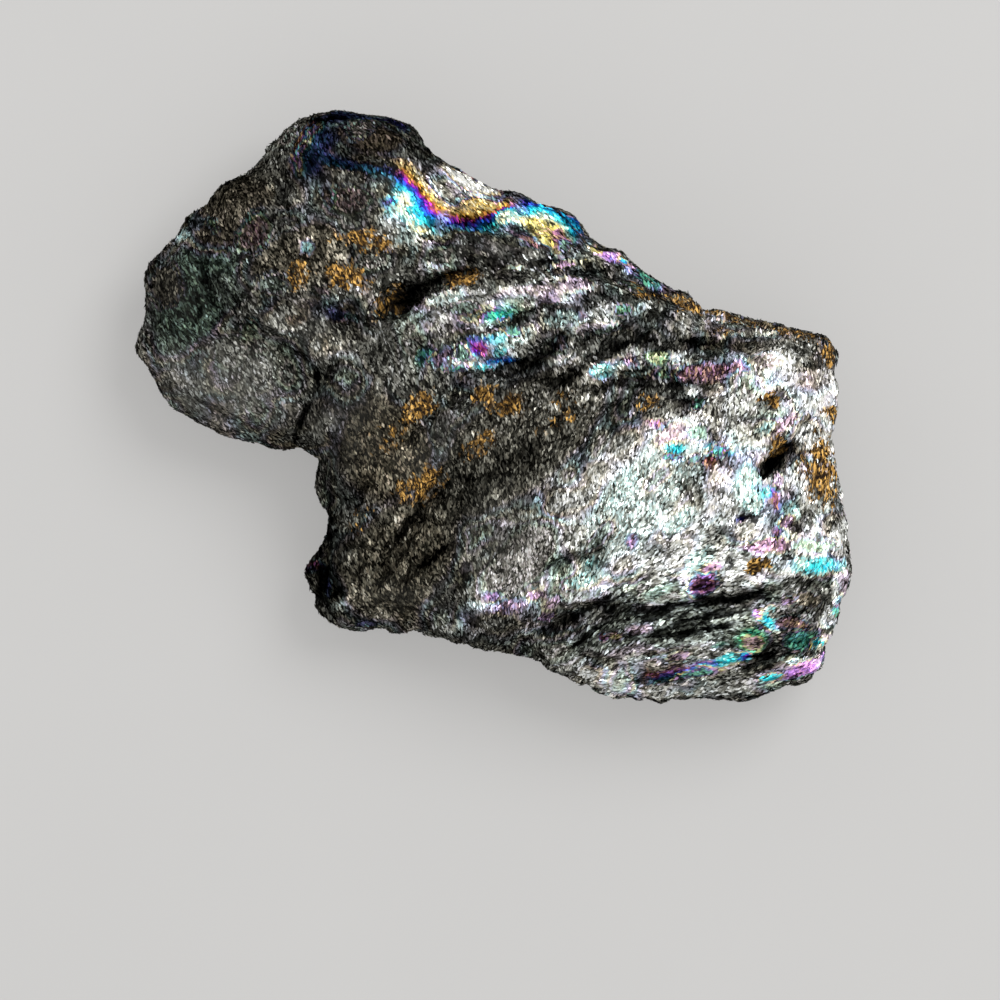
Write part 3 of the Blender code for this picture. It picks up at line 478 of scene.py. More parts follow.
# film spots, later ones over earlier ones: x, y, half-length, half-width, angle, film, share
films = [
    (195, 290, 84, 50, 60, 0.8, 0.5), (230, 210, 60, 34, 40, 0.16, 0.36),
    (520, 440, 130, 60, 38, 0.12, 0.18), (400, 560, 90, 60, 52, 0.13, 0.38),
    (300, 260, 70, 40, 20, 0.14, 0.34), (660, 630, 110, 26, 8, 0.79, 0.18),
    (520, 560, 60, 30, 44, 0.94, 0.22), (370, 138, 44, 18, -8, 0.18, 0.5),
    (385, 450, 60, 60, 50, 0.14, 0.45), (362, 130, 18, 11, 30, 0.94, 0.45),
    (255, 232, 26, 19, 60, 0.94, 0.95), (230, 245, 6, 7, 0, 0.22, 0.5),
    (212, 225, 12, 6, -40, 0.86, 0.6), (197, 222, 10, 8, 0, 0.37, 0.4),
    (252, 322, 8, 6, 0, 0.432, 0.6), (330, 305, 12, 7, -20, 0.432, 0.4),
    (322, 292, 14, 6, 0, 0.62, 0.4), (347, 199, 30, 18, 0, 0.94, 0.85),
    (328, 196, 8, 12, 0, 0.22, 0.5), (295, 320, 13, 7, 0, 0.2, 0.6), (308, 248, 9, 8, 0, 0.46, 0.6),
    (182, 235, 10, 8, 60, 0.44, 0.4), (225, 290, 18, 26, 40, 0.79, 0.3),
    (165, 285, 20, 24, 0, 0.14, 0.25), (275, 285, 22, 12, 0, 0.79, 0.3),
    (338, 315, 16, 10, -20, 0.31, 0.75), (352, 318, 9, 6, -20, 0.44, 0.5),
    (248, 334, 9, 17, 0, 0.87, 0.45), (315, 567, 13, 9, 0, 0.22, 0.9), (327, 588, 5, 15, 0, 0.31, 0.8),
    (365, 625, 13, 5, 0, 0.31, 0.7), (400, 120, 18, 6, -15, 0.31, 0.9),
    (402, 164, 14, 6, -20, 0.15, 0.8), (402, 200, 14, 8, -30, 0.505, 0.9),
    (387, 204, 9, 6, 0, 0.26, 0.9), (389, 213, 9, 5, 0, 0.44, 0.8), (424, 231, 10, 5, -20, 0.56, 0.7),
    (474, 178, 38, 14, -25, 0.03, 1.0), (480, 204, 28, 9, -6, 0.12, 1.0),
    (507, 218, 15, 9, 20, 0.5, 1.0), (527, 204, 11, 6, -10, 0.31, 1.0),
    (520, 212, 8, 4, -10, 0.36, 0.8), (541, 233, 30, 11, -30, 0.56, 1.0),
    (560, 237, 10, 7, -60, 0.62, 1.0), (528, 243, 26, 4, -24, 0.215, 0.8),
    (566, 247, 8, 7, 0, 0.79, 0.6), (597, 250, 9, 5, -20, 0.55, 1.0),
    (609, 259, 12, 6, -25, 0.68, 1.0), (618, 252, 6, 5, 0, 0.65, 0.9),
    (622, 262, 8, 4, -20, 0.37, 1.0), (650, 278, 18, 8, -35, 0.79, 0.9),
    (564, 264, 18, 4, 4, 0.64, 0.8), (584, 262, 8, 4, 0, 0.55, 0.8), (517, 267, 15, 4, 4, 0.46, 0.8),
    (438, 265, 12, 4, 10, 0.64, 0.4), (548, 290, 52, 10, 4, 0.62, 0.38),
    (575, 285, 22, 7, -5, 0.65, 0.5), (632, 288, 20, 5, -20, 0.8, 0.5),
    (478, 316, 24, 10, 15, 0.49, 0.8), (500, 316, 22, 9, 16, 0.785, 1.0),
    (504, 322, 10, 4, 10, 0.34, 0.8), (515, 338, 24, 11, 15, 0.46, 0.4),
    (462, 353, 28, 11, 8, 0.79, 0.6), (474, 340, 12, 5, 10, 0.3, 0.9),
    (477, 349, 10, 9, 0, 0.245, 1.0), (446, 352, 12, 8, 8, 0.27, 0.6), (480, 350, 11, 9, 5, 0.25, 1.0),
    (489, 339, 12, 6, 0, 0.36, 1.0), (484, 367, 20, 5, -6, 0.44, 1.0),
    (503, 360, 24, 6, -2, 0.345, 1.0), (427, 357, 18, 10, 30, 0.77, 0.9),
    (440, 362, 12, 10, 0, 0.26, 0.6), (500, 350, 10, 6, 10, 0.44, 0.9),
    (500, 337, 16, 7, 30, 0.43, 0.8), (512, 332, 9, 6, 0, 0.8, 0.8), (455, 369, 20, 4, 4, 0.79, 0.9),
    (462, 308, 20, 9, 10, 0.8, 0.4), (445, 300, 24, 8, 20, 0.46, 0.3),
    (550, 300, 14, 9, 10, 0.66, 0.5), (600, 330, 26, 7, 14, 0.8, 0.4),
    (640, 372, 22, 8, 10, 0.46, 0.5), (630, 362, 9, 6, 0, 0.24, 0.7), (560, 342, 10, 8, 0, 0.24, 0.5),
    (578, 315, 9, 5, 0, 0.25, 0.6), (660, 375, 20, 5, 0, 0.63, 0.8), (657, 357, 15, 9, 0, 0.87, 0.8),
    (700, 372, 48, 11, 4, 0.94, 0.6), (704, 373, 40, 13, 6, 0.228, 0.75),
    (742, 366, 13, 7, 0, 0.232, 0.7), (600, 372, 14, 9, 0, 0.46, 0.9), (622, 311, 11, 8, 0, 0.83, 0.8),
    (697, 405, 10, 6, 0, 0.8, 0.8), (560, 320, 22, 9, 15, 0.45, 0.4), (765, 362, 24, 10, 0, 0.6, 0.35),
    (750, 320, 70, 6, -12, 0.14, 0.6), (590, 328, 18, 6, 14, 0.64, 0.3),
    (640, 500, 100, 40, 48, 0.46, 0.3), (670, 435, 24, 15, 30, 0.62, 0.5),
    (697, 432, 14, 11, 0, 0.81, 0.5), (675, 449, 12, 8, 0, 0.42, 1.0), (668, 456, 6, 5, 0, 0.78, 0.9),
    (676, 461, 8, 4, 0, 0.24, 0.8), (654, 423, 15, 5, -5, 0.24, 0.8), (718, 451, 18, 8, 0, 0.78, 0.9),
    (708, 446, 6, 5, 0, 0.42, 0.9), (709, 462, 9, 8, 0, 0.2, 0.9), (727, 455, 7, 5, 0, 0.36, 0.9),
    (694, 460, 8, 6, 0, 0.78, 0.7), (748, 490, 17, 30, 10, 0.465, 0.6),
    (765, 492, 10, 8, 0, 0.45, 0.9), (757, 487, 5, 5, 0, 0.38, 0.5), (739, 520, 6, 4, 10, 0.31, 1.0),
    (775, 500, 6, 24, 14, 0.23, 0.85), (774, 534, 6, 16, -20, 0.245, 0.8),
    (680, 520, 28, 11, 50, 0.46, 0.4), (620, 487, 34, 11, 50, 0.46, 0.4),
    (655, 480, 20, 8, 50, 0.8, 0.25), (600, 535, 22, 8, 50, 0.8, 0.3),
    (700, 560, 24, 14, 40, 0.46, 0.5), (765, 546, 30, 10, 0, 0.63, 0.8),
    (790, 512, 12, 14, 20, 0.45, 0.6), (785, 522, 12, 8, 30, 0.64, 0.7),
    (783, 424, 24, 8, 24, 0.62, 0.6), (763, 427, 13, 8, 20, 0.46, 0.6),
    (776, 480, 8, 14, -10, 0.66, 0.5), (815, 545, 30, 8, 0, 0.85, 0.5),
    (815, 565, 33, 13, 0, 0.432, 1.0), (802, 562, 9, 5, 0, 0.46, 0.9), (835, 570, 7, 6, 0, 0.4, 0.8),
    (847, 588, 9, 28, 5, 0.655, 0.4), (844, 566, 7, 9, 0, 0.432, 0.7), (843, 601, 7, 7, 0, 0.38, 0.6),
    (802, 598, 24, 12, 0, 0.15, 0.4), (787, 600, 9, 6, 0, 0.655, 0.7), (772, 607, 8, 6, 0, 0.46, 0.7),
    (786, 622, 18, 8, 20, 0.215, 0.7), (792, 657, 16, 5, 8, 0.5, 0.8), (839, 611, 8, 8, 0, 0.79, 0.9),
    (800, 626, 14, 9, 0, 0.2, 0.7), (764, 620, 9, 18, 44, 0.425, 1.0), (755, 612, 7, 6, 0, 0.655, 0.9),
    (752, 641, 21, 18, 0, 0.81, 1.0), (753, 643, 12, 10, 0, 0.93, 0.9),
    (802, 640, 26, 14, 0, 0.79, 0.9), (720, 645, 12, 5, 10, 0.79, 0.8),
    (680, 656, 16, 5, 14, 0.64, 0.6), (804, 670, 28, 10, 20, 0.655, 1.0),
    (818, 682, 9, 4, 20, 0.72, 0.9), (771, 678, 16, 5, 15, 0.432, 1.0),
    (820, 644, 12, 8, 0, 0.42, 1.0), (829, 658, 7, 7, 0, 0.67, 0.9), (730, 660, 16, 8, 12, 0.432, 1.0),
    (704, 669, 10, 4, 10, 0.432, 0.9), (747, 657, 7, 5, 20, 0.3, 1.0),
    (696, 674, 24, 6, 10, 0.79, 0.8), (652, 675, 9, 5, 0, 0.215, 0.9), (616, 635, 8, 6, 0, 0.57, 0.9),
    (604, 637, 6, 6, 0, 0.24, 0.8), (640, 630, 16, 7, 10, 0.63, 0.5), (630, 650, 26, 8, 10, 0.64, 0.3),
    (703, 584, 22, 15, 50, 0.245, 0.85), (709, 567, 14, 6, 14, 0.63, 0.8),
    (508, 606, 28, 10, 10, 0.26, 0.6), (492, 595, 10, 6, 0, 0.67, 0.8),
    (535, 596, 13, 6, 0, 0.64, 0.7), (580, 580, 24, 11, 12, 0.46, 0.6),
    (552, 603, 14, 6, 30, 0.63, 0.6), (590, 562, 9, 7, 0, 0.45, 0.8), (632, 541, 7, 9, 0, 0.25, 0.7),
    (660, 590, 22, 8, 20, 0.8, 0.4), (548, 616, 12, 6, 20, 0.66, 0.7),
]

# rust spots: x, y, half-length, half-width, angle, share
rusts = [
    (365, 241, 40, 10, -8, 0.8), (300, 274, 13, 14, 0, 0.8), (345, 278, 28, 14, -20, 1.0),
    (462, 278, 18, 8, 12, 0.9), (388, 303, 26, 12, 35, 1.0), (425, 484, 26, 15, 50, 0.95),
    (400, 491, 10, 7, 0, 0.7), (418, 410, 24, 16, 40, 0.95), (483, 394, 12, 15, 0, 1.0),
    (512, 404, 20, 9, 14, 0.95), (685, 303, 24, 8, -25, 0.9), (824, 470, 17, 50, 4, 0.95),
    (810, 474, 14, 34, 10, 0.6), (815, 450, 14, 8, 24, 0.8), (832, 412, 8, 12, 0, 0.9),
    (830, 352, 9, 18, 10, 0.9), (757, 566, 14, 8, 14, 1.0), (768, 400, 11, 5, 5, 1.0),
    (773, 446, 14, 8, 44, 1.0), (648, 403, 12, 7, 0, 0.65), (482, 446, 26, 9, 45, 0.65),
    (640, 291, 22, 6, -20, 0.45), (560, 420, 34, 9, 30, 0.35), (390, 440, 20, 14, 50, 0.35),
    (560, 400, 22, 6, 30, 0.3), (360, 520, 20, 12, 55, 0.3), (720, 330, 20, 6, -8, 0.3),
    (735, 316, 44, 5, -12, 0.55), (806, 333, 34, 6, -12, 0.6),
]

# how bright the plates are: their own lustre, with painted highlight where faces catch the key light
# and painted shade where they turn from it; later ones over earlier ones: x, y, half-length,
# half-width, angle, lustre and painted light, weight
lustreAndLightSpots = [
    # broad zones
    (900, 470, 110, 170, 0, 0.55, 1.0), (640, 800, 170, 100, 0, 0.34, 1.0),
    (630, 140, 200, 85, -30, 0.34, 1.0), (215, 385, 84, 54, -14, 0.24, 1.0),
    (190, 270, 70, 76, 40, 0.105, 1.0), (290, 190, 90, 60, 30, 0.092, 1.0),
    (292, 200, 20, 26, 0, 0.15, 0.9), (255, 232, 24, 18, 60, 0.13, 0.9),
    (365, 134, 66, 34, -8, 0.042, 1.0), (330, 250, 60, 40, 10, 0.13, 0.8),
    (350, 420, 60, 60, 50, 0.13, 0.9), (520, 248, 120, 16, -4, 0.14, 1.0),
    (440, 350, 90, 40, 20, 0.22, 0.8), (430, 470, 80, 60, 48, 0.13, 0.9),
    (520, 440, 110, 36, 40, 0.09, 1.0), (560, 400, 120, 20, 30, 0.16, 1.0),
    (640, 330, 110, 26, 12, 0.22, 1.0), (740, 330, 90, 18, -8, 0.3, 1.0),
    (500, 540, 80, 50, 48, 0.24, 0.9), (380, 580, 80, 50, 50, 0.158, 1.0),
    (325, 570, 24, 66, 4, 0.03, 1.0), (313, 573, 13, 15, 0, 0.1, 1.0), (327, 594, 8, 13, 0, 0.14, 1.0),
    (450, 610, 80, 30, -12, 0.18, 0.9), (660, 630, 150, 34, 6, 0.5, 1.0),
    (706, 628, 70, 17, 9, 0.27, 1.0), (625, 650, 90, 30, 8, 0.38, 0.9),
    (800, 610, 46, 34, 0, 0.3, 1.0), (740, 680, 90, 18, 4, 0.24, 0.9), (812, 470, 30, 60, 4, 0.5, 0.9),
    # the bright face and its neighbours
    (585, 505, 90, 64, 46, 0.46, 1.0), (635, 512, 130, 76, 46, 0.62, 1.0),
    (672, 508, 90, 54, 46, 0.84, 1.0), (640, 440, 52, 30, 40, 0.5, 1.0),
    (610, 575, 90, 28, 16, 0.62, 1.0), (690, 450, 76, 46, 30, 0.74, 1.0),
    (742, 452, 34, 22, 20, 0.86, 1.0), (748, 420, 30, 12, 10, 0.4, 0.9),
    (668, 438, 34, 22, 40, 0.86, 1.0), (738, 500, 48, 56, 60, 1.0, 1.0),
    (700, 565, 90, 36, 6, 0.8, 1.0), (525, 588, 66, 26, 14, 0.52, 1.0),
    (566, 461, 52, 20, 46, 0.2, 0.8), (596, 496, 58, 24, 48, 0.7, 1.0),
    (690, 484, 20, 24, 0, 0.48, 1.0), (716, 541, 16, 20, -20, 0.28, 1.0),
    (590, 567, 25, 13, 20, 0.3, 1.0), (596, 476, 34, 12, 48, 0.85, 1.0),
    (650, 513, 22, 12, 46, 0.62, 0.9), (740, 392, 50, 20, 0, 0.64, 1.0),
    (708, 392, 24, 9, 0, 0.8, 1.0), (768, 372, 50, 22, -8, 0.86, 1.0),
    (812, 398, 22, 36, -10, 0.92, 1.0), (768, 415, 64, 26, 16, 0.6, 1.0),
    (762, 538, 44, 26, 8, 0.95, 1.0), (822, 543, 36, 20, 0, 1.0, 1.0),
    (815, 564, 38, 14, 0, 0.95, 1.0), (748, 570, 52, 22, 4, 0.86, 1.0),
    (843, 584, 15, 44, 4, 1.0, 1.0), (806, 506, 32, 24, 20, 0.58, 1.0),
    (822, 440, 26, 50, 0, 0.78, 1.0), (830, 392, 16, 26, 0, 0.95, 1.0),
    (796, 466, 20, 38, 0, 0.8, 0.9), (806, 444, 13, 20, 10, 1.0, 1.0), (832, 464, 9, 26, 0, 1.0, 1.0),
    (776, 484, 12, 16, -10, 0.95, 1.0), (700, 372, 26, 14, 20, 0.42, 0.9),
    (640, 360, 52, 12, 4, 0.5, 0.9), (600, 371, 26, 13, 8, 0.92, 1.0),
    (770, 573, 32, 13, 4, 0.96, 1.0), (620, 572, 44, 14, 16, 0.82, 1.0),
    (755, 566, 20, 8, 12, 0.7, 0.8),
    # crest
    (545, 291, 66, 13, 2, 0.78, 1.0), (440, 314, 54, 20, 26, 0.66, 1.0),
    (444, 301, 30, 10, 20, 0.85, 1.0), (500, 304, 80, 13, 6, 0.44, 1.0),
    (480, 318, 44, 14, 16, 0.58, 1.0), (488, 350, 60, 22, 12, 0.46, 1.0),
    (478, 348, 12, 12, 0, 0.72, 1.0), (535, 352, 18, 9, 20, 0.48, 0.9),
    (548, 399, 30, 8, 32, 0.3, 0.9), (620, 312, 44, 10, 10, 0.52, 1.0),
    (562, 324, 44, 10, 14, 0.42, 0.9), (640, 331, 40, 8, 8, 0.3, 0.8),
    (686, 329, 30, 8, -2, 0.55, 0.9), (522, 267, 24, 5, 4, 0.8, 1.0), (566, 265, 24, 8, 4, 0.92, 1.0),
    (440, 265, 28, 9, 10, 0.52, 0.9), (520, 248, 60, 8, -4, 0.19, 0.8),
    # rainbow edge
    (470, 184, 56, 20, -24, 0.76, 1.0), (478, 206, 40, 13, -6, 0.6, 1.0),
    (440, 208, 24, 14, -35, 0.95, 1.0), (408, 228, 42, 20, -24, 0.74, 1.0),
    (396, 241, 34, 9, -10, 0.5, 0.9), (420, 196, 40, 18, -45, 0.72, 1.0),
    (475, 228, 34, 7, 0, 0.17, 1.0), (408, 201, 26, 16, -34, 0.8, 1.0),
    (502, 211, 18, 9, 0, 0.74, 1.0), (548, 224, 56, 26, -30, 0.55, 1.0),
    (510, 222, 18, 11, 0, 0.74, 1.0), (365, 167, 44, 9, -8, 0.07, 1.0),
    (434, 186, 26, 10, -45, 0.66, 1.0), (612, 257, 34, 10, -26, 0.8, 1.0),
    (598, 248, 16, 7, -20, 0.95, 1.0), (388, 184, 16, 9, -20, 0.22, 0.9),
    (650, 280, 24, 10, -34, 0.46, 0.9), (405, 164, 14, 8, -10, 0.22, 0.9),
    (308, 248, 10, 9, 0, 0.4, 0.8), (366, 130, 22, 12, 20, 0.1, 0.9), (340, 122, 40, 8, 10, 0.09, 0.9),
    # bottom
    (640, 590, 130, 9, 2, 0.72, 0.9), (604, 680, 42, 12, -32, 0.84, 1.0),
    (628, 690, 36, 11, -4, 0.9, 1.0), (695, 691, 62, 10, 4, 0.84, 1.0),
    (640, 646, 44, 14, 12, 0.46, 1.0), (634, 632, 30, 9, 10, 0.62, 1.0),
    (804, 665, 32, 14, 20, 0.98, 1.0), (772, 676, 20, 8, 14, 0.88, 1.0),
    (732, 660, 22, 11, 10, 1.0, 1.0), (690, 668, 56, 10, 14, 0.5, 1.0),
    (763, 619, 11, 20, 40, 0.66, 1.0), (752, 641, 20, 17, 0, 0.5, 1.0),
    (826, 647, 14, 18, 0, 1.0, 1.0), (839, 611, 11, 11, 0, 0.95, 1.0), (745, 688, 66, 6, 8, 0.5, 0.9),
    (495, 598, 22, 14, 0, 0.66, 1.0), (540, 598, 30, 12, 4, 0.66, 1.0),
    (510, 613, 24, 9, 8, 0.28, 1.0), (703, 585, 21, 14, 50, 0.22, 1.0),
    (430, 640, 60, 6, -8, 0.32, 0.7), (540, 655, 40, 6, -20, 0.4, 0.7),
    (806, 642, 26, 14, 0, 0.32, 0.9), (786, 602, 14, 10, 0, 0.7, 0.9), (806, 628, 16, 9, 0, 0.56, 0.9),
    (662, 598, 60, 7, 4, 0.8, 1.0),
    # single leaves, knots and hollows
    (442, 452, 26, 14, 40, 0.25, 1.0), (536, 628, 34, 12, 30, 0.34, 1.0),
    (748, 419, 34, 13, 16, 0.36, 1.0), (414, 145, 12, 14, -40, 0.07, 1.0),
    (444, 240, 24, 10, 0, 0.12, 1.0), (448, 261, 30, 7, -10, 0.24, 0.9),
    (424, 152, 12, 20, -40, 0.06, 0.9), (790, 600, 30, 10, 0, 0.26, 0.9),
    (600, 640, 44, 14, 20, 0.5, 0.9), (700, 644, 36, 8, 14, 0.5, 0.9),
    (342, 258, 30, 12, -10, 0.11, 0.9), (359, 292, 22, 10, -30, 0.4, 1.0),
    (337, 316, 16, 10, -20, 0.18, 1.0), (388, 334, 34, 14, 20, 0.48, 1.0),
    (284, 394, 16, 22, 0, 0.33, 0.8), (562, 302, 36, 10, 8, 0.98, 1.0),
    (590, 326, 30, 8, 12, 0.5, 1.0), (480, 363, 42, 9, 2, 0.88, 1.0), (588, 362, 18, 6, 6, 0.88, 1.0),
    (578, 358, 34, 12, 20, 0.36, 1.0), (668, 363, 32, 11, 0, 0.86, 1.0),
    (768, 358, 34, 10, 0, 1.0, 1.0), (744, 362, 26, 12, 0, 0.84, 1.0),
    (533, 396, 22, 12, 34, 0.6, 1.0), (600, 394, 44, 9, 16, 0.48, 1.0),
    (355, 602, 26, 12, 10, 0.42, 1.0), (510, 598, 42, 15, 8, 0.74, 1.0),
    (740, 632, 34, 8, 12, 0.2, 1.0), (650, 664, 30, 10, 10, 0.48, 1.0),
    (830, 622, 14, 24, 0, 0.7, 1.0), (508, 570, 44, 20, 40, 0.42, 0.9),
    (745, 662, 20, 8, 10, 0.7, 1.0), (306, 247, 13, 10, 0, 0.9, 1.0), (182, 236, 12, 9, 60, 0.4, 0.9),
    (260, 272, 20, 16, 0, 0.055, 0.9), (808, 357, 24, 15, 12, 0.2, 1.0),
    (362, 130, 22, 12, 30, 0.17, 0.9), (466, 624, 34, 14, 0, 0.62, 1.0),
    (468, 598, 18, 10, 0, 0.2, 0.9), (708, 461, 16, 9, 0, 0.4, 0.8), (775, 500, 5, 24, 14, 0.42, 1.0),
    (774, 534, 5, 16, -20, 0.42, 1.0),
]

# painted shadow, black, in crevices and pits: x, y, half-length, half-width, angle, share
depthShadows = [
    (408, 294, 27, 10, 32, 1.0), (440, 279, 24, 4, 22, 0.8), (383, 309, 12, 9, 20, 0.6),
    (776, 461, 28, 8, 47, 1.5), (768, 466, 17, 8, 58, 1.5), (802, 435, 16, 2, 40, 1.1),
    (752, 516, 19, 5, 16, 1.4), (758, 656, 16, 5, 16, 0.7), (786, 397, 10, 5, 0, 1.4),
    (769, 407, 8, 4, 0, 1.3), (290, 347, 16, 3, -20, 1.3), (307, 360, 13, 4, -45, 1.4),
    (317, 378, 4, 16, 0, 1.4), (312, 397, 4, 16, -26, 1.4), (303, 416, 6, 18, -28, 1.5),
    (294, 433, 6, 10, -30, 0.8), (330, 374, 18, 3, 49, 1.1), (268, 340, 32, 3, -40, 0.9),
    (318, 438, 5, 22, 0, 0.5), (462, 620, 40, 14, -10, 0.38), (530, 640, 28, 6, 32, 0.8),
    (570, 619, 34, 8, 22, 0.9), (640, 609, 50, 6, 1, 0.95), (725, 600, 60, 7, 9, 1.1),
    (672, 612, 36, 11, 14, 0.95), (612, 600, 34, 6, 16, 1.0), (676, 624, 90, 24, 8, 0.58),
    (590, 628, 54, 14, 24, 0.55), (800, 642, 26, 10, 0, 0.25), (630, 344, 40, 8, 20, 1.0),
    (700, 341, 44, 3, 0, 0.6), (523, 364, 30, 5, 28, 0.65), (558, 384, 40, 5, 34, 0.7),
    (600, 391, 30, 4, 20, 0.5), (665, 386, 46, 5, 2, 0.7), (560, 268, 70, 4, -2, 0.35),
    (320, 560, 11, 62, 8, 0.75), (330, 525, 8, 34, 0, 0.6), (400, 530, 40, 8, 52, 0.75),
    (432, 557, 26, 5, 30, 0.6), (345, 600, 16, 26, 30, 0.4), (466, 482, 22, 9, 48, 0.5),
    (514, 512, 16, 12, 10, 0.35), (480, 545, 9, 13, 0, 0.4), (701, 592, 9, 8, 40, 0.4),
    (728, 560, 5, 28, -16, 0.6), (556, 572, 44, 3, 28, 0.6), (200, 300, 5, 30, -10, 0.5),
    (150, 300, 12, 40, 0, 0.35), (802, 592, 34, 9, 0, 0.22), (790, 622, 18, 7, 20, 0.12),
    (330, 120, 40, 7, 8, 0.5), (410, 140, 8, 22, 40, 0.5), (700, 560, 12, 7, 40, 0.2),
]

# grey dust on the dull parts, which evens out their plates: x, y, half-length, half-width, angle, share
dusts = [
    (215, 388, 88, 58, -14, 1.0), (300, 335, 60, 30, -20, 0.25), (350, 430, 56, 56, 50, 0.35),
    (430, 450, 70, 30, 46, 0.35), (400, 595, 60, 22, -4, 0.3), (500, 530, 70, 44, 46, 0.35),
    (510, 252, 70, 14, -4, 0.4), (175, 300, 50, 50, 0, 0.2), (370, 200, 60, 40, 0, 0.15),
    (450, 310, 60, 18, 14, 0.5),
]

paint = {
    "streaks": [  # length and width in mm, share, seed
        (4.2, 0.60, 0.60, 71), (2.2, 0.30, 0.55, 73), (0.9, 0.22, 0.30, 74),
    ],
    "partings": [  # thin dark lines between folds: length and spacing in mm, width, share, seed
        (5.0, 0.75, 0.10, 0.80, 81), (2.4, 0.40, 0.10, 0.55, 82),
    ],
    "mottle": [  # size in mm, share, seed
        (1.5, 0.50, 75), (0.6, 0.50, 76), (0.33, 0.45, 112),
    ],
    "partingCoarse": 1.3,
    "evener": {"streaks": 0.8, "partings": 0.6, "mottle": 0.6},  # the brighter a place is
    "mottleShare": (0.4, 0.9),  # on a smooth surface, and how much more where it is coarse
    "leanTurn": 72.0,  # the bright faces share one lean: its direction in the frame
    "lean": 17.0,  # and its degrees off upright
    "leanFrom": 0.42,
    "leanSlope": 2.0,
    "leanMost": 0.75,
    "leanUpward": 3.0,
    "plainLustre": 0.13,
    "plainLustreWander": (2.2, 0.3, 111),  # size in mm, share, seed
    "lustreAndLightLimits": (0.02, 1.0),
    "filmGloss": 0.9,
    "filmGlossFrom": 0.4,
    "raggedMm": 0.30,
    "filmRaggedMm": 0.15,
    "ragged": [  # length along the grain and width across it in mm, share, two seeds
        (0.9, 0.35, 1.0, (101, 102)), (0.3, 0.16, 0.6, (103, 104)),
    ],
    "plainFilm": [  # size in mm, swing, seed
        (1.9, 0.60, 105), (0.6, 0.12, 108),
    ],
    "plainFilmLimits": (0.02, 0.98),
    "plainFilmShare": 0.19,
    "plainShareWander": (1.2, 1.4, 109),
    "plainShareLimits": (0.1, 2.2),
    "bandFade": 4.0,  # steps of the drawing over which a band's edge fades
    "bandEnds": 8.0,  # how fast it fades in from its ends
    "bandStart": 0.02,  # share of its length that it has already faded in there
    "filmHardness": 2.2,
    "filmSharper": 1.6,  # a film's value changes over a narrower edge than its share
    "broadFilms": 8,  # the first film spots lie under the bands
    "rustWider": 3.0,  # steps of the drawing
    "rustHardness": 1.6,
    "dustHardness": 1.6,
    "depthHardness": 1.5,
    "depthGain": 1.1,
    "depthEdge": (4.0, -0.6),
    "depthSwing": (1.5, -0.7),
    "depthBroken": [  # length and width in mm, share, seed
        (2.0, 0.22, 1.0, 106), (0.6, 0.12, 0.6, 107),
    ],
    "lustreAndLightHardness": 1.8,
    "rimCellMm": 0.7,  # grid on which the height of the rock's upper side is read
    "rimCells": 80,
    "rimMm": 1.0,  # so far below it, what is seen from above stays as it is drawn
    "rimRounds": 3,
    "outwardLeast": 0.3,  # a surface that faces up or down moves out by less
    "upperFrom": 0.4,  # the upper side is what faces up by more than this
    "wallBelow": 0.25,  # and a wall what faces up by less than this
    "nearRounds": 6,
    "farRounds": 24,
    "broadRounds": 16,
    "hollowGains": (9.0, 2.0),
}


def warpedPlan(plan, u, v, ragged):
    shift = 0.0
    for long, across, share, seeds in paint["ragged"]:
        shift += share * np.stack([softNoise(u / long, v / across, seed) for seed in seeds], axis=1)
    return plan + ragged * shift


# walls are painted as if they were folded out flat, so no spot of the drawing runs down them
def foldedOut(places, normals):
    plan = planOf(places)
    side = paint["rimCells"]
    cells = np.clip(((plan - grain["lowMm"]) / paint["rimCellMm"]).astype(int), 0, side - 1)
    cell = cells[:, 0] * side + cells[:, 1]
    upper = np.clip((normals[:, 2] - paint["upperFrom"]) / paint["wallBelow"], 0.0, 1.0)
    total = np.bincount(cell, upper * places[:, 2], side * side).reshape(side, side)
    weight = np.bincount(cell, upper, side * side).reshape(side, side) + 1e-9
    for _ in range(paint["rimRounds"]):
        for sheet in (total, weight):
            for axis in (0, 1):
                sheet += np.roll(sheet, 1, axis) + np.roll(sheet, -1, axis)
    rim = (total / weight)[cells[:, 0], cells[:, 1]]
    steep = np.clip(1.0 - normals[:, 2] / paint["wallBelow"], 0.0, 1.0)
    drop = np.clip((rim - places[:, 2]) / millimetre - paint["rimMm"], 0.0, None) * steep
    outward = turnedBack(normals[:, 0], normals[:, 1])
    length = np.linalg.norm(outward, axis=1, keepdims=True)
    return plan + outward / np.maximum(length, paint["outwardLeast"]) * drop[:, None]


# laid over what is there: value and share both move towards the new ones where the mask is full
def filmOver(plan):
    film = 0.5 + sum(swing * patches(plan, size, seed) for size, swing, seed in paint["plainFilm"])
    film = np.clip(film, *paint["plainFilmLimits"])
    size, swing, seed = paint["plainShareWander"]
    share = np.clip(1.0 + swing * patches(plan, size, seed), *paint["plainShareLimits"])
    share *= paint["plainFilmShare"]
    layers = []
    for band in bands.values():
        distance, reached = alongLine(band["points"], plan)
        steps = distance * drawing["stepsPerMm"]
        offsets, values = np.array(band["profile"], float).T
        fade = np.minimum(steps - offsets[0], offsets[-1] - steps) / paint["bandFade"]
        fade = np.clip(fade, 0.0, 1.0)
        start = paint["bandStart"]
        inside = np.minimum(reached + start, 1.0 + start - reached)
        fade *= np.clip(paint["bandEnds"] * inside, 0.0, 1.0)
        layers.append((fade, np.interp(steps, offsets, values), band["share"]))
    for spot in films:
        layers.append((spotShare(spot, plan, paint["filmHardness"]), spot[5], spot[6]))
    first, last = len(bands), len(bands) + paint["broadFilms"]
    for fade, value, full in layers[first:last] + layers[:first] + layers[last:]:
        film += (value - film) * np.clip(fade * paint["filmSharper"], 0.0, 1.0)
        share += (full - share) * fade
    return film, share


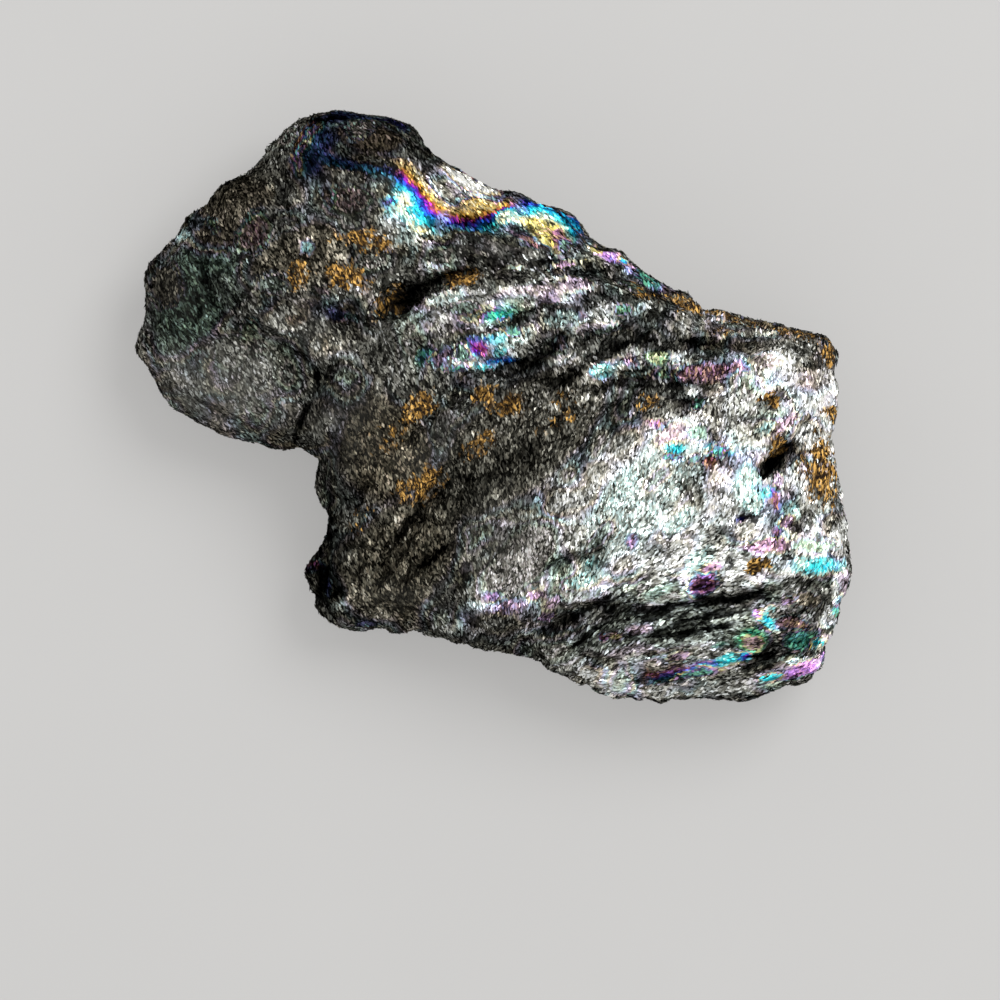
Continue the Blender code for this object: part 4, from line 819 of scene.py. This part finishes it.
# the strongest of the spots at each place
def strongest(spots, plan, hardness, wider=0.0):
    share = np.zeros(len(plan))
    for x, y, long, across, angle, most in spots:
        spot = (x, y, long + wider, across + wider, angle)
        share = np.maximum(share, spotShare(spot, plan, hardness) * most)
    return share


# the painted shadow of a depth: its edge is broken up along the grain, its middle is whole
def depthShadowOver(plan, u, v):
    share = strongest(depthShadows, plan, paint["depthHardness"])
    broken = 0.0
    for long, across, part, seed in paint["depthBroken"]:
        broken += part * softNoise(u / long, v / across, seed)
    full, fall = paint["depthSwing"]
    swing = risen(share, *paint["depthEdge"]) * (full + fall * np.clip(share, 0.0, 1.0))
    return np.clip(share * paint["depthGain"] + broken * swing, 0.0, 1.0)


# brightness of each place: the plates' own lustre, with painted highlight and painted shade from the
# spots
def lustreAndLightOver(plan, u, v, coarse, filmShare):
    evener = paint["evener"]
    size, swing, seed = paint["plainLustreWander"]
    value = paint["plainLustre"] * (1.0 + swing * patches(plan, size, seed))
    for spot in lustreAndLightSpots:
        value += (spot[5] - value) * spotShare(spot, plan, paint["lustreAndLightHardness"]) * spot[6]
    for length, width, share, seed in paint["streaks"]:
        uneven = share * coarse * (1.0 - evener["streaks"] * value)
        value *= 1.0 + uneven * softNoise(u / length, v / width, seed)
    parted = np.clip(coarse * paint["partingCoarse"], 0.0, 1.0)
    for length, apart, width, share, seed in paint["partings"]:
        line = np.clip(1.0 - np.abs(softNoise(u / length, v / apart, seed)) / width, 0.0, 1.0)
        value *= 1.0 - share * parted * (1.0 - evener["partings"] * value) * line
    least, more = paint["mottleShare"]
    for size, share, seed in paint["mottle"]:
        uneven = share * (least + more * coarse) * (1.0 - evener["mottle"] * value)
        value *= np.exp(uneven * patches(plan, size, seed))
    value *= 1.0 + paint["filmGloss"] * np.clip(filmShare - paint["filmGlossFrom"], 0.0, 1.0)
    return np.clip(value, *paint["lustreAndLightLimits"])


def setAttribute(mesh, name, values):
    if values.ndim == 1:
        mesh.attributes.new(name, "FLOAT", "POINT").data.foreach_set("value", values)
    else:
        mesh.attributes.new(name, "FLOAT_VECTOR", "POINT").data.foreach_set("vector", values.ravel())


def readAttribute(mesh, name):
    return readAll(mesh.attributes[name].data, "value")


def unit(vectors):
    return vectors / np.maximum(np.linalg.norm(vectors, axis=1, keepdims=True), 1e-6)


def paintRock(mesh):
    places, normals, ends = meshArrays(mesh)
    near = softened(places, ends, paint["nearRounds"])
    far = softened(near, ends, paint["farRounds"])
    plan = foldedOut(places, unit(softened(normals, ends, paint["broadRounds"])))
    u, v = readSheet(foldU, plan), readSheet(foldV, plan)
    warped = warpedPlan(plan, u, v, paint["raggedMm"])
    film, filmShare = filmOver(warpedPlan(plan, u, v, paint["filmRaggedMm"]))
    # how far each place lies below the softened surfaces, for the painted shade in hollows
    sunk = ((near - places) * normals).sum(axis=1) / millimetre
    deepShadow = ((far - places) * normals).sum(axis=1) / millimetre
    angle = np.radians(between(grain["headings"], plan, grain["reachMm"])) + drawing["turn"]
    drawn = np.stack([np.cos(angle), np.sin(angle), np.zeros(len(plan))], axis=1)
    drawn = unit(drawn - normals * (drawn * normals).sum(axis=1, keepdims=True))
    coarse = between(rock["coarse"], plan, rock["coarseReachMm"])
    lustreAndPaintedLight = lustreAndLightOver(warped, u, v, coarse, filmShare)
    shared = direction(paint["leanTurn"], 90.0 - paint["lean"])
    sharing = (lustreAndPaintedLight - paint["leanFrom"]) * paint["leanSlope"]
    sharing = np.clip(sharing, 0.0, paint["leanMost"])[:, None]
    sharing *= np.clip(normals[:, 2:] * paint["leanUpward"], 0.0, 1.0)
    fine, broad = paint["hollowGains"]
    for name, values in (
        ("film", film), ("filmShare", filmShare),
        ("rust", strongest(rusts, warped, paint["rustHardness"], paint["rustWider"])),
        ("deepShadow", depthShadowOver(warped, u, v)), ("lustreAndPaintedLight", lustreAndPaintedLight),
        ("dust", strongest(dusts, warped, paint["dustHardness"])),
        ("settled", unit(normals * (1.0 - sharing) + shared * sharing)),
        ("hollowShadow", np.clip(sunk * fine, -1.0, 1.0) * 0.5 + np.clip(deepShadow * broad, -1.0, 1.0) * 0.5),
        ("flow", np.stack([readSheet(strokeU, plan), readSheet(strokeV, plan),
                           places[:, 2] / millimetre], axis=1)),
        ("drawn", drawn),
    ):
        setAttribute(mesh, name, values)


def thinRock(obj):
    thin = obj.modifiers.new("thin", "DECIMATE")
    thin.ratio = rock["triangles"] / trianglesOf(obj.data)
    fine = evaluatedMesh(obj, "rockSurface")
    obj.modifiers.remove(thin)
    obj.data = fine


paintRock(rockPiece.data)
thinRock(rockPiece)
print("4 rock painted, triangles kept", trianglesOf(rockPiece.data))


def addNode(tree, kind, values=None, **settings):
    node = tree.nodes.new(kind)
    for key, value in settings.items():
        setattr(node, key, value)
    for key, value in (values or {}).items():
        socket = node.inputs[key]
        if isinstance(value, bpy.types.NodeSocket):
            tree.links.new(value, socket)
        else:
            socket.default_value = value
    return node


def mathNode(tree, operation, a, b=0.0, c=0.0, clamp=False):
    node = addNode(tree, "ShaderNodeMath", {0: a, 1: b, 2: c}, operation=operation, use_clamp=clamp)
    return node.outputs[0]


def vectorNode(tree, operation, values):
    return addNode(tree, "ShaderNodeVectorMath", values, operation=operation).outputs[0]


def mixColour(tree, share, a, b, blend="MIX"):
    node = addNode(tree, "ShaderNodeMix", {"Factor": share}, data_type="RGBA", blend_type=blend)
    for index, value in ((6, a), (7, b)):
        if isinstance(value, bpy.types.NodeSocket):
            tree.links.new(value, node.inputs[index])
        else:
            node.inputs[index].default_value = (*value, 1.0)
    return node.outputs[2]


def multiplied(tree, a, b):
    return mixColour(tree, 1.0, a, b, "MULTIPLY")


def greyOf(tree, value):
    return addNode(tree, "ShaderNodeCombineColor", {0: value, 1: value, 2: value}).outputs[0]


def rampOver(tree, value, table):
    ramp = addNode(tree, "ShaderNodeValToRGB", {"Fac": value})
    stops = ramp.color_ramp.elements
    while len(stops) < len(table):
        stops.new(0.5)
    for stop, (position, tone) in zip(stops, table):
        stop.position = position
    for stop, (position, tone) in zip(stops, table):
        stop.color = (*tone, 1.0)
    return ramp.outputs["Color"]


def newGroup(name, kind, inputs, outputs):
    tree = bpy.data.node_groups.new(name, kind)
    for way, sockets in (("INPUT", inputs), ("OUTPUT", outputs)):
        for label, socket in sockets:
            tree.interface.new_socket(label, in_out=way, socket_type=socket)
    return tree, tree.nodes.new("NodeGroupInput").outputs, tree.nodes.new("NodeGroupOutput").inputs


def newMaterial(name):
    material = bpy.data.materials.new(name)
    material.use_nodes = True
    return material, material.node_tree, material.node_tree.nodes["Principled BSDF"]


number, vector, colour = "NodeSocketFloat", "NodeSocketVector", "NodeSocketColor"

tarnishColours = [  # film, colour
    (0.00, (0.60, 0.61, 0.62)), (0.07, (0.80, 0.78, 0.66)), (0.12, (0.88, 0.66, 0.22)),
    (0.17, (0.80, 0.42, 0.06)), (0.215, (0.50, 0.12, 0.06)), (0.25, (0.42, 0.03, 0.38)),
    (0.29, (0.07, 0.03, 0.60)), (0.34, (0.02, 0.15, 0.72)), (0.395, (0.03, 0.58, 0.92)),
    (0.43, (0.06, 0.84, 0.84)), (0.465, (0.58, 0.97, 0.88)), (0.51, (0.98, 0.97, 0.62)),
    (0.56, (0.97, 0.82, 0.16)), (0.61, (0.97, 0.46, 0.62)), (0.67, (0.66, 0.30, 0.92)),
    (0.73, (0.14, 0.30, 0.80)), (0.78, (0.02, 0.55, 0.42)), (0.83, (0.22, 0.80, 0.38)),
    (0.88, (0.72, 0.86, 0.30)), (0.94, (0.92, 0.52, 0.62)), (1.00, (0.34, 0.74, 0.58)),
]


# the colour of a thin oxide film
def tarnishGroup():
    tree, given, made = newGroup("tarnishFilm", "ShaderNodeTree", [("Film", number)],
                                 [("Colour", colour)])
    tree.links.new(rampOver(tree, given["Film"], tarnishColours), made["Colour"])
    return tree


# small cells drawn out along the grain, each with its own chance and tilt
def scaleGroup():
    tree, given, made = newGroup(
        "scaleFacets", "ShaderNodeTree",
        [("Length", number), ("Width", number), ("Tilt", number), ("Upright", vector)],
        [("Chance", number), ("Second", number), ("Normal", vector)],
    )
    flow = addNode(tree, "ShaderNodeAttribute", attribute_name="flow")
    parts = addNode(tree, "ShaderNodeSeparateXYZ", {0: flow.outputs["Vector"]})
    place = addNode(tree, "ShaderNodeCombineXYZ", {
        0: mathNode(tree, "DIVIDE", parts.outputs[0], given["Length"]),
        1: mathNode(tree, "DIVIDE", parts.outputs[1], given["Width"]),
        2: mathNode(tree, "DIVIDE", parts.outputs[2], given["Width"]),
    })
    cells = addNode(tree, "ShaderNodeTexVoronoi", {"Vector": place.outputs[0], "Scale": 1.0},
                    voronoi_dimensions="3D", feature="F1")
    draw = addNode(tree, "ShaderNodeSeparateColor", {0: cells.outputs["Color"]})
    centred = vectorNode(tree, "SUBTRACT", {0: cells.outputs["Color"], 1: (0.5, 0.5, 0.5)})
    tilted = vectorNode(tree, "SCALE", {0: centred, "Scale": given["Tilt"]})
    leaned = vectorNode(tree, "ADD", {0: given["Upright"], 1: tilted})
    for socket, label in ((draw.outputs[0], "Chance"), (draw.outputs[1], "Second"),
                          (vectorNode(tree, "NORMALIZE", {0: leaned}), "Normal")):
        tree.links.new(socket, made[label])
    return tree


rustLook = {
    "colours": [  # grain's own brightness, colour
        (0.20, (0.014, 0.007, 0.003)), (0.48, (0.090, 0.046, 0.011)), (0.77, (0.37, 0.200, 0.046)),
        (1.0, (0.96, 0.57, 0.16)),
    ],
    "cloud": {"Scale": 2.6, "Detail": 4.0, "Roughness": 0.7},
    "cloudShare": 3.2,
    "chanceShare": 0.5,
    "edge": (4.0, -9.0),  # how sharp the crust's edge is, and from where
    "near": 6.0,
    "roughness": 0.85,
}


# powdery iron rust: a ragged mask and its ochre colour
def rustGroup():
    tree, given, made = newGroup(
        "rustCrust", "ShaderNodeTree",
        [("Rust", number), ("Chance", number), ("Second", number)],
        [("Colour", colour), ("Mask", number)],
    )
    flow = addNode(tree, "ShaderNodeAttribute", attribute_name="flow")
    cloud = addNode(tree, "ShaderNodeTexNoise", {"Vector": flow.outputs["Vector"], **rustLook["cloud"]})
    lifted = mathNode(tree, "MULTIPLY_ADD", cloud.outputs["Fac"], rustLook["cloudShare"], given["Rust"])
    lifted = mathNode(tree, "MULTIPLY_ADD", given["Chance"], rustLook["chanceShare"], lifted)
    mask = mathNode(tree, "MULTIPLY_ADD", lifted, *rustLook["edge"], clamp=True)
    near = mathNode(tree, "MULTIPLY", given["Rust"], rustLook["near"], clamp=True)
    tree.links.new(rampOver(tree, given["Second"], rustLook["colours"]), made["Colour"])
    tree.links.new(mathNode(tree, "MULTIPLY", mask, near), made["Mask"])
    return tree


tarnishTree, scaleTree, rustTree = tarnishGroup(), scaleGroup(), rustGroup()

finish = {
    # roughness where the surface is dull, and where it is bright
    "rock": {"tilt": 0.50, "strength": 0.6, "roughness": (0.58, 0.44)},
    "plates": {"tilt": 0.15, "strength": 1.1, "roughness": (0.56, 0.38)},
    "cellMm": (0.44, 0.14),
    "filmJitter": 0.06,
    "tarnished": 0.85,
    "sparkle": (-2.4, 3.0),  # painted glints: a dull place's few bright plates stand out more
    "sparkleGain": 0.93,
    "leastShine": 0.07,
    "hollowShade": 0.65,
    "leastShade": 0.05,
    "deepChance": 0.7,
    "deepShade": 0.94,
    "grazing": (0.35, 0.35, 0.35, 1.0),  # dark at grazing angles too
    "dustCover": 0.42,
    "dustColour": (0.150, 0.147, 0.132),
    "dullTint": (1.0, 0.99, 0.83),  # dark grains are a little olive, bright ones are white
    "brightTint": (0.95, 0.97, 0.96),
}


def useGroup(tree, group, values):
    return addNode(tree, "ShaderNodeGroup", values, node_tree=group).outputs


def attributeValue(tree, name):
    return addNode(tree, "ShaderNodeAttribute", attribute_name=name).outputs["Fac"]


# steel grey metal under tarnish and rust, with painted highlight, glints and shade; a plate also has a
# chance of its own, fixed when it is laid
def hematiteMaterial(name, look, ownChance):
    material, tree, shader = newMaterial(name)
    if ownChance:
        upright = addNode(tree, "ShaderNodeNewGeometry").outputs["Normal"]
    else:
        upright = addNode(tree, "ShaderNodeAttribute", attribute_name="settled").outputs["Vector"]
    length, width = finish["cellMm"]
    scales = useGroup(tree, scaleTree, {"Length": length, "Width": width, "Tilt": look["tilt"],
                                        "Upright": upright})
    chance = attributeValue(tree, "chance") if ownChance else scales["Chance"]
    second = attributeValue(tree, "second") if ownChance else scales["Second"]
    lustreAndPaintedLight, share = attributeValue(tree, "lustreAndPaintedLight"), attributeValue(tree, "filmShare")
    jitter = finish["filmJitter"]
    spread = mathNode(tree, "MULTIPLY_ADD", chance, jitter, -jitter / 2)
    film = mathNode(tree, "ADD", attributeValue(tree, "film"), spread, clamp=True)
    # the brightness holds painted highlight and shade; painted glints: in dull places a few cells are
    # far brighter
    power = mathNode(tree, "MULTIPLY_ADD", lustreAndPaintedLight, *finish["sparkle"])
    gain = mathNode(tree, "MULTIPLY_ADD", power, finish["sparkleGain"], finish["sparkleGain"])
    peak = mathNode(tree, "MULTIPLY", mathNode(tree, "POWER", second, power), gain)
    lit = mathNode(tree, "MULTIPLY", lustreAndPaintedLight, mathNode(tree, "ADD", peak, finish["leastShine"]))
    lit = mathNode(tree, "MULTIPLY", lit, look["strength"], clamp=True)
    tint = mixColour(tree, lit, finish["dullTint"], finish["brightTint"])
    metal = multiplied(tree, tint, greyOf(tree, lit))
    coloured = useGroup(tree, tarnishTree, {"Film": film})["Colour"]
    dimmed = mathNode(tree, "MULTIPLY", lit, finish["tarnished"])
    metal = mixColour(tree, share, metal, multiplied(tree, coloured, greyOf(tree, dimmed)))
    dusty = mathNode(tree, "MULTIPLY", attributeValue(tree, "dust"), finish["dustCover"])
    metal = mixColour(tree, dusty, metal, finish["dustColour"])
    # painted shade: hollows are darkened as if shade fell in them
    shade = mathNode(tree, "MULTIPLY_ADD", attributeValue(tree, "hollowShadow"), -finish["hollowShade"],
                     1.0, clamp=True)
    shade = mathNode(tree, "MAXIMUM", shade, finish["leastShade"])
    # painted shadow in the depths: in a half depth some plates stay dark and some stand out, in a full
    # one all are dark
    reached = mathNode(tree, "MULTIPLY", attributeValue(tree, "deepShadow"), 1.0 + finish["deepChance"])
    deepShadow = mathNode(tree, "MULTIPLY_ADD", chance, -finish["deepChance"], reached, clamp=True)
    openness = mathNode(tree, "MULTIPLY_ADD", deepShadow, -finish["deepShade"], 1.0, clamp=True)
    shade = greyOf(tree, mathNode(tree, "MULTIPLY", shade, openness))
    rust = useGroup(tree, rustTree, {"Rust": attributeValue(tree, "rust"), "Chance": chance,
                                     "Second": second})
    low, high = look["roughness"]
    rough = mathNode(tree, "MULTIPLY_ADD", lustreAndPaintedLight, high - low, low)
    crusted = mathNode(tree, "MULTIPLY", rust["Mask"], rustLook["roughness"])
    for label, socket in (
        ("Base Color", mixColour(tree, rust["Mask"], multiplied(tree, metal, shade),
                                 multiplied(tree, rust["Colour"], shade))),
        ("Roughness", mathNode(tree, "MAXIMUM", rough, crusted)),
        ("Metallic", mathNode(tree, "SUBTRACT", 1.0, rust["Mask"])),
        ("Normal", scales["Normal"]),
    ):
        tree.links.new(socket, shader.inputs[label])
    shader.inputs["Specular Tint"].default_value = finish["grazing"]
    return material


rockMaterial = hematiteMaterial("hematiteRock", finish["rock"], False)
plateMaterial = hematiteMaterial("hematitePlates", finish["plates"], True)
rockPiece.data.materials.clear()
rockPiece.data.materials.append(rockMaterial)
rockPiece.data.polygons.foreach_set("use_smooth", np.ones(len(rockPiece.data.polygons), bool))
print("5 materials made")

# the plates: flat-topped flakes laid on the rock along the grain

plates = {
    # name, count, smallest and largest length, width and thickness in mm, tilt, seed; a plate has
    # six triangles, so each piece stays under 200,000
    "sets": [
        ("platesLong", 32000, (0.32, 0.11, 0.06), (0.60, 0.19, 0.10), 0.34, 3),
        ("platesShort", 32000, (0.26, 0.10, 0.06), (0.46, 0.17, 0.09), 0.42, 14),
        ("platesFine", 32000, (0.20, 0.08, 0.05), (0.36, 0.14, 0.08), 0.52, 27),
    ],
    "faces": 5,  # of a plate: its top and four sides
    "sunk": 0.62,  # share of a plate's thickness from its middle down to the rock
    "sizeSeed": 5.0,  # added to the set's own seed
    "ownSeeds": [("chance", 11.0), ("second", 17.0)],
    "cover": (0.30, 0.70),  # on walls and underneath, and how much more on top
    "coverUpward": (2.0, 0.6),
    "brightGain": 1.2,  # a bright, tarnished place has fewer plates, and they lie flatter
    "bare": 0.35,
    "smooth": 0.45,
    "bareDepth": 0.6,
    "footMm": (0.35, 0.3),  # none so low, and how soon they are all there above it
}


# a random number from 0 to 1, or a vector between two others
def drawValue(tree, seed, low=None, high=None):
    if low is None:
        draw = addNode(tree, "FunctionNodeRandomValue", {"Seed": seed}, data_type="FLOAT")
        return draw.outputs[1]
    draw = addNode(tree, "FunctionNodeRandomValue", {0: low, 1: high, "Seed": seed},
                   data_type="FLOAT_VECTOR")
    return draw.outputs[0]


def scatterTree():
    tree, given, made = newGroup(
        "scatterPlates", "GeometryNodeTree",
        [("Geometry", "NodeSocketGeometry"), ("Density", number), ("Smallest", vector),
         ("Largest", vector), ("Tilt", number), ("Seed", "NodeSocketInt"),
         ("Material", "NodeSocketMaterial")],
        [("Geometry", "NodeSocketGeometry")],
    )

    def named(name, kind):
        found = addNode(tree, "GeometryNodeInputNamedAttribute", {"Name": name}, data_type=kind)
        return found.outputs[0]

    density = mathNode(tree, "MULTIPLY", given["Density"], named("plateCover", "FLOAT"))
    points = addNode(tree, "GeometryNodeDistributePointsOnFaces",
                     {"Mesh": given["Geometry"], "Density": density, "Seed": given["Seed"]})
    heading = addNode(tree, "FunctionNodeAxesToRotation",
                      {0: named("settled", "FLOAT_VECTOR"), 1: named("drawn", "FLOAT_VECTOR")},
                      primary_axis="Z", secondary_axis="X")
    loose = mathNode(tree, "MULTIPLY", given["Tilt"], named("loose", "FLOAT"))
    swing = addNode(tree, "ShaderNodeCombineXYZ", {0: loose, 1: loose, 2: loose}).outputs[0]
    swingBack = vectorNode(tree, "MULTIPLY", {0: swing, 1: (-1.0, -1.0, -1.0)})
    lean = addNode(tree, "FunctionNodeEulerToRotation",
                   {0: drawValue(tree, given["Seed"], swingBack, swing)})
    turned = addNode(tree, "FunctionNodeRotateRotation", {0: heading.outputs[0], 1: lean.outputs[0]},
                     rotation_space="LOCAL")
    sizeSeed = mathNode(tree, "ADD", given["Seed"], plates["sizeSeed"])
    size = drawValue(tree, sizeSeed, given["Smallest"], given["Largest"])
    flake = addNode(tree, "GeometryNodeMeshCone", {"Vertices": 4, "Radius Top": 0.5,
                                                   "Radius Bottom": 0.0, "Depth": 1.0})
    sunk = addNode(tree, "GeometryNodeTransform", {"Geometry": flake.outputs["Mesh"],
                                                   "Translation": (0.0, 0.0, -plates["sunk"])})
    laid = addNode(tree, "GeometryNodeInstanceOnPoints",
                   {"Points": points.outputs["Points"], "Instance": sunk.outputs[0],
                    "Rotation": turned.outputs[0], "Scale": size})
    shape = laid.outputs[0]
    for name, offset in plates["ownSeeds"]:
        own = drawValue(tree, mathNode(tree, "ADD", given["Seed"], offset))
        shape = addNode(tree, "GeometryNodeStoreNamedAttribute",
                        {"Geometry": shape, "Name": name, "Value": own},
                        data_type="FLOAT", domain="INSTANCE").outputs[0]
    real = addNode(tree, "GeometryNodeRealizeInstances", {0: shape})
    dressed = addNode(tree, "GeometryNodeSetMaterial",
                      {0: real.outputs[0], "Material": given["Material"]})
    tree.links.new(dressed.outputs[0], made[0])
    return tree


# how densely the plates stand at each place, and how loosely; gives the area that they cover
def coverOver(mesh):
    places, normals, _ = meshArrays(mesh)
    least, more = plates["cover"]
    cover = least + more * risen(normals[:, 2], *plates["coverUpward"])
    bright = readAttribute(mesh, "filmShare") * readAttribute(mesh, "lustreAndPaintedLight") * plates["brightGain"]
    bright = np.clip(bright, 0.0, 1.0)
    cover *= 1.0 - plates["bare"] * bright
    cover *= 1.0 - plates["bareDepth"] * readAttribute(mesh, "deepShadow")
    low, rise = plates["footMm"]
    cover *= np.clip((places[:, 2] / millimetre - low) / rise, 0.0, 1.0)
    setAttribute(mesh, "plateCover", cover)
    setAttribute(mesh, "loose", 1.0 - plates["smooth"] * bright)
    corners = readAll(mesh.loops, "vertex_index", np.int64)
    firsts = corners[readAll(mesh.polygons, "loop_start", np.int64)]
    return float((readAll(mesh.polygons, "area") * cover[firsts]).sum())


def layPlates(tree, covered, name, count, smallest, largest, tilt, seed):
    piece = newObject(name, rockPiece.data.copy())
    modifier = piece.modifiers.new("scatter", "NODES")
    modifier.node_group = tree
    given = {"Density": count / covered, "Smallest": [s * millimetre for s in smallest],
             "Largest": [s * millimetre for s in largest], "Tilt": tilt, "Seed": seed,
             "Material": plateMaterial}
    for item in tree.interface.items_tree:
        if item.name in given:
            modifier[item.identifier] = given[item.name]
    mesh = evaluatedMesh(piece, name)
    piece.modifiers.remove(modifier)
    piece.data = mesh
    print("   ", name, len(mesh.polygons) // plates["faces"], "plates", trianglesOf(mesh))
    return piece


scatter = scatterTree()
covered = coverOver(rockPiece.data)
platePieces = [layPlates(scatter, covered, *plateSet) for plateSet in plates["sets"]]
print("6 plates laid")

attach(rockPiece, "root")
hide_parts("hematite")
for piece in platePieces:
    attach(piece, "root")

studio = {
    "board": 0.6,
    "boardDrop": 0.00003,
    "boardGrey": (0.27, 0.267, 0.262),
    "boardUneven": 0.94,
    "boardCloud": {"Scale": 60.0, "Detail": 3.0},
    "boardShader": {
        "Roughness": 0.8, "Specular IOR Level": 0.2,
        "Emission Color": (1.0, 0.99, 0.975, 1.0), "Emission Strength": 0.30,
    },
    "keyTurn": 72.0,  # degrees from x in the frame
    "keyRise": 52.0,
    "keyDistance": 0.5,
    "keySize": 0.30,
    "keyPower": 1.5,
    "world": 0.85,
    "viewAbove": 0.61,
    "lens": 345.6,
}


def makeBoard():
    bm = bmesh.new()
    bmesh.ops.create_grid(bm, x_segments=1, y_segments=1, size=studio["board"])
    mesh = bpy.data.meshes.new("board")
    bm.to_mesh(mesh)
    bm.free()
    for vertex in mesh.vertices:
        vertex.co.z = -studio["boardDrop"]
    board = newObject("board", mesh)
    material, tree, shader = newMaterial("paleBoard")
    place = addNode(tree, "ShaderNodeTexCoord").outputs["Object"]
    cloud = addNode(tree, "ShaderNodeTexNoise", {"Vector": place, **studio["boardCloud"]})
    low = tuple(c * studio["boardUneven"] for c in studio["boardGrey"])
    shade = mixColour(tree, cloud.outputs["Fac"], low, studio["boardGrey"])
    tree.links.new(shade, shader.inputs["Base Color"])
    for label, value in studio["boardShader"].items():
        shader.inputs[label].default_value = value
    mesh.materials.append(material)


def makeKey():
    light = bpy.data.lights.new("key", "AREA")
    light.shape = "DISK"
    light.size = studio["keySize"]
    light.energy = studio["keyPower"]
    lamp = newObject("key", light)
    turn, rise = studio["keyTurn"], studio["keyRise"]
    lamp.location = studio["keyDistance"] * direction(turn, rise)
    lamp.rotation_euler = (math.radians(90.0 - rise), 0.0, math.radians(turn + 90.0))


makeBoard()
makeKey()

scene = bpy.context.scene
world = bpy.data.worlds.new("studio")
world.use_nodes = True
surround = world.node_tree.nodes["Background"].inputs
surround["Color"].default_value = (1.0, 1.0, 1.0, 1.0)
surround["Strength"].default_value = studio["world"]
scene.world = world
scene.view_settings.view_transform = "Standard"

lens = bpy.data.cameras.new("camera")
lens.sensor_width = 36.0
lens.lens = studio["lens"]
camera = newObject("camera", lens)
centreX, centreY = drawing["centreMm"]
camera.location = (-centreX * millimetre, -centreY * millimetre, studio["viewAbove"])
camera.rotation_euler = (0.0, 0.0, drawing["turn"])
scene.camera = camera
print("7 studio set")
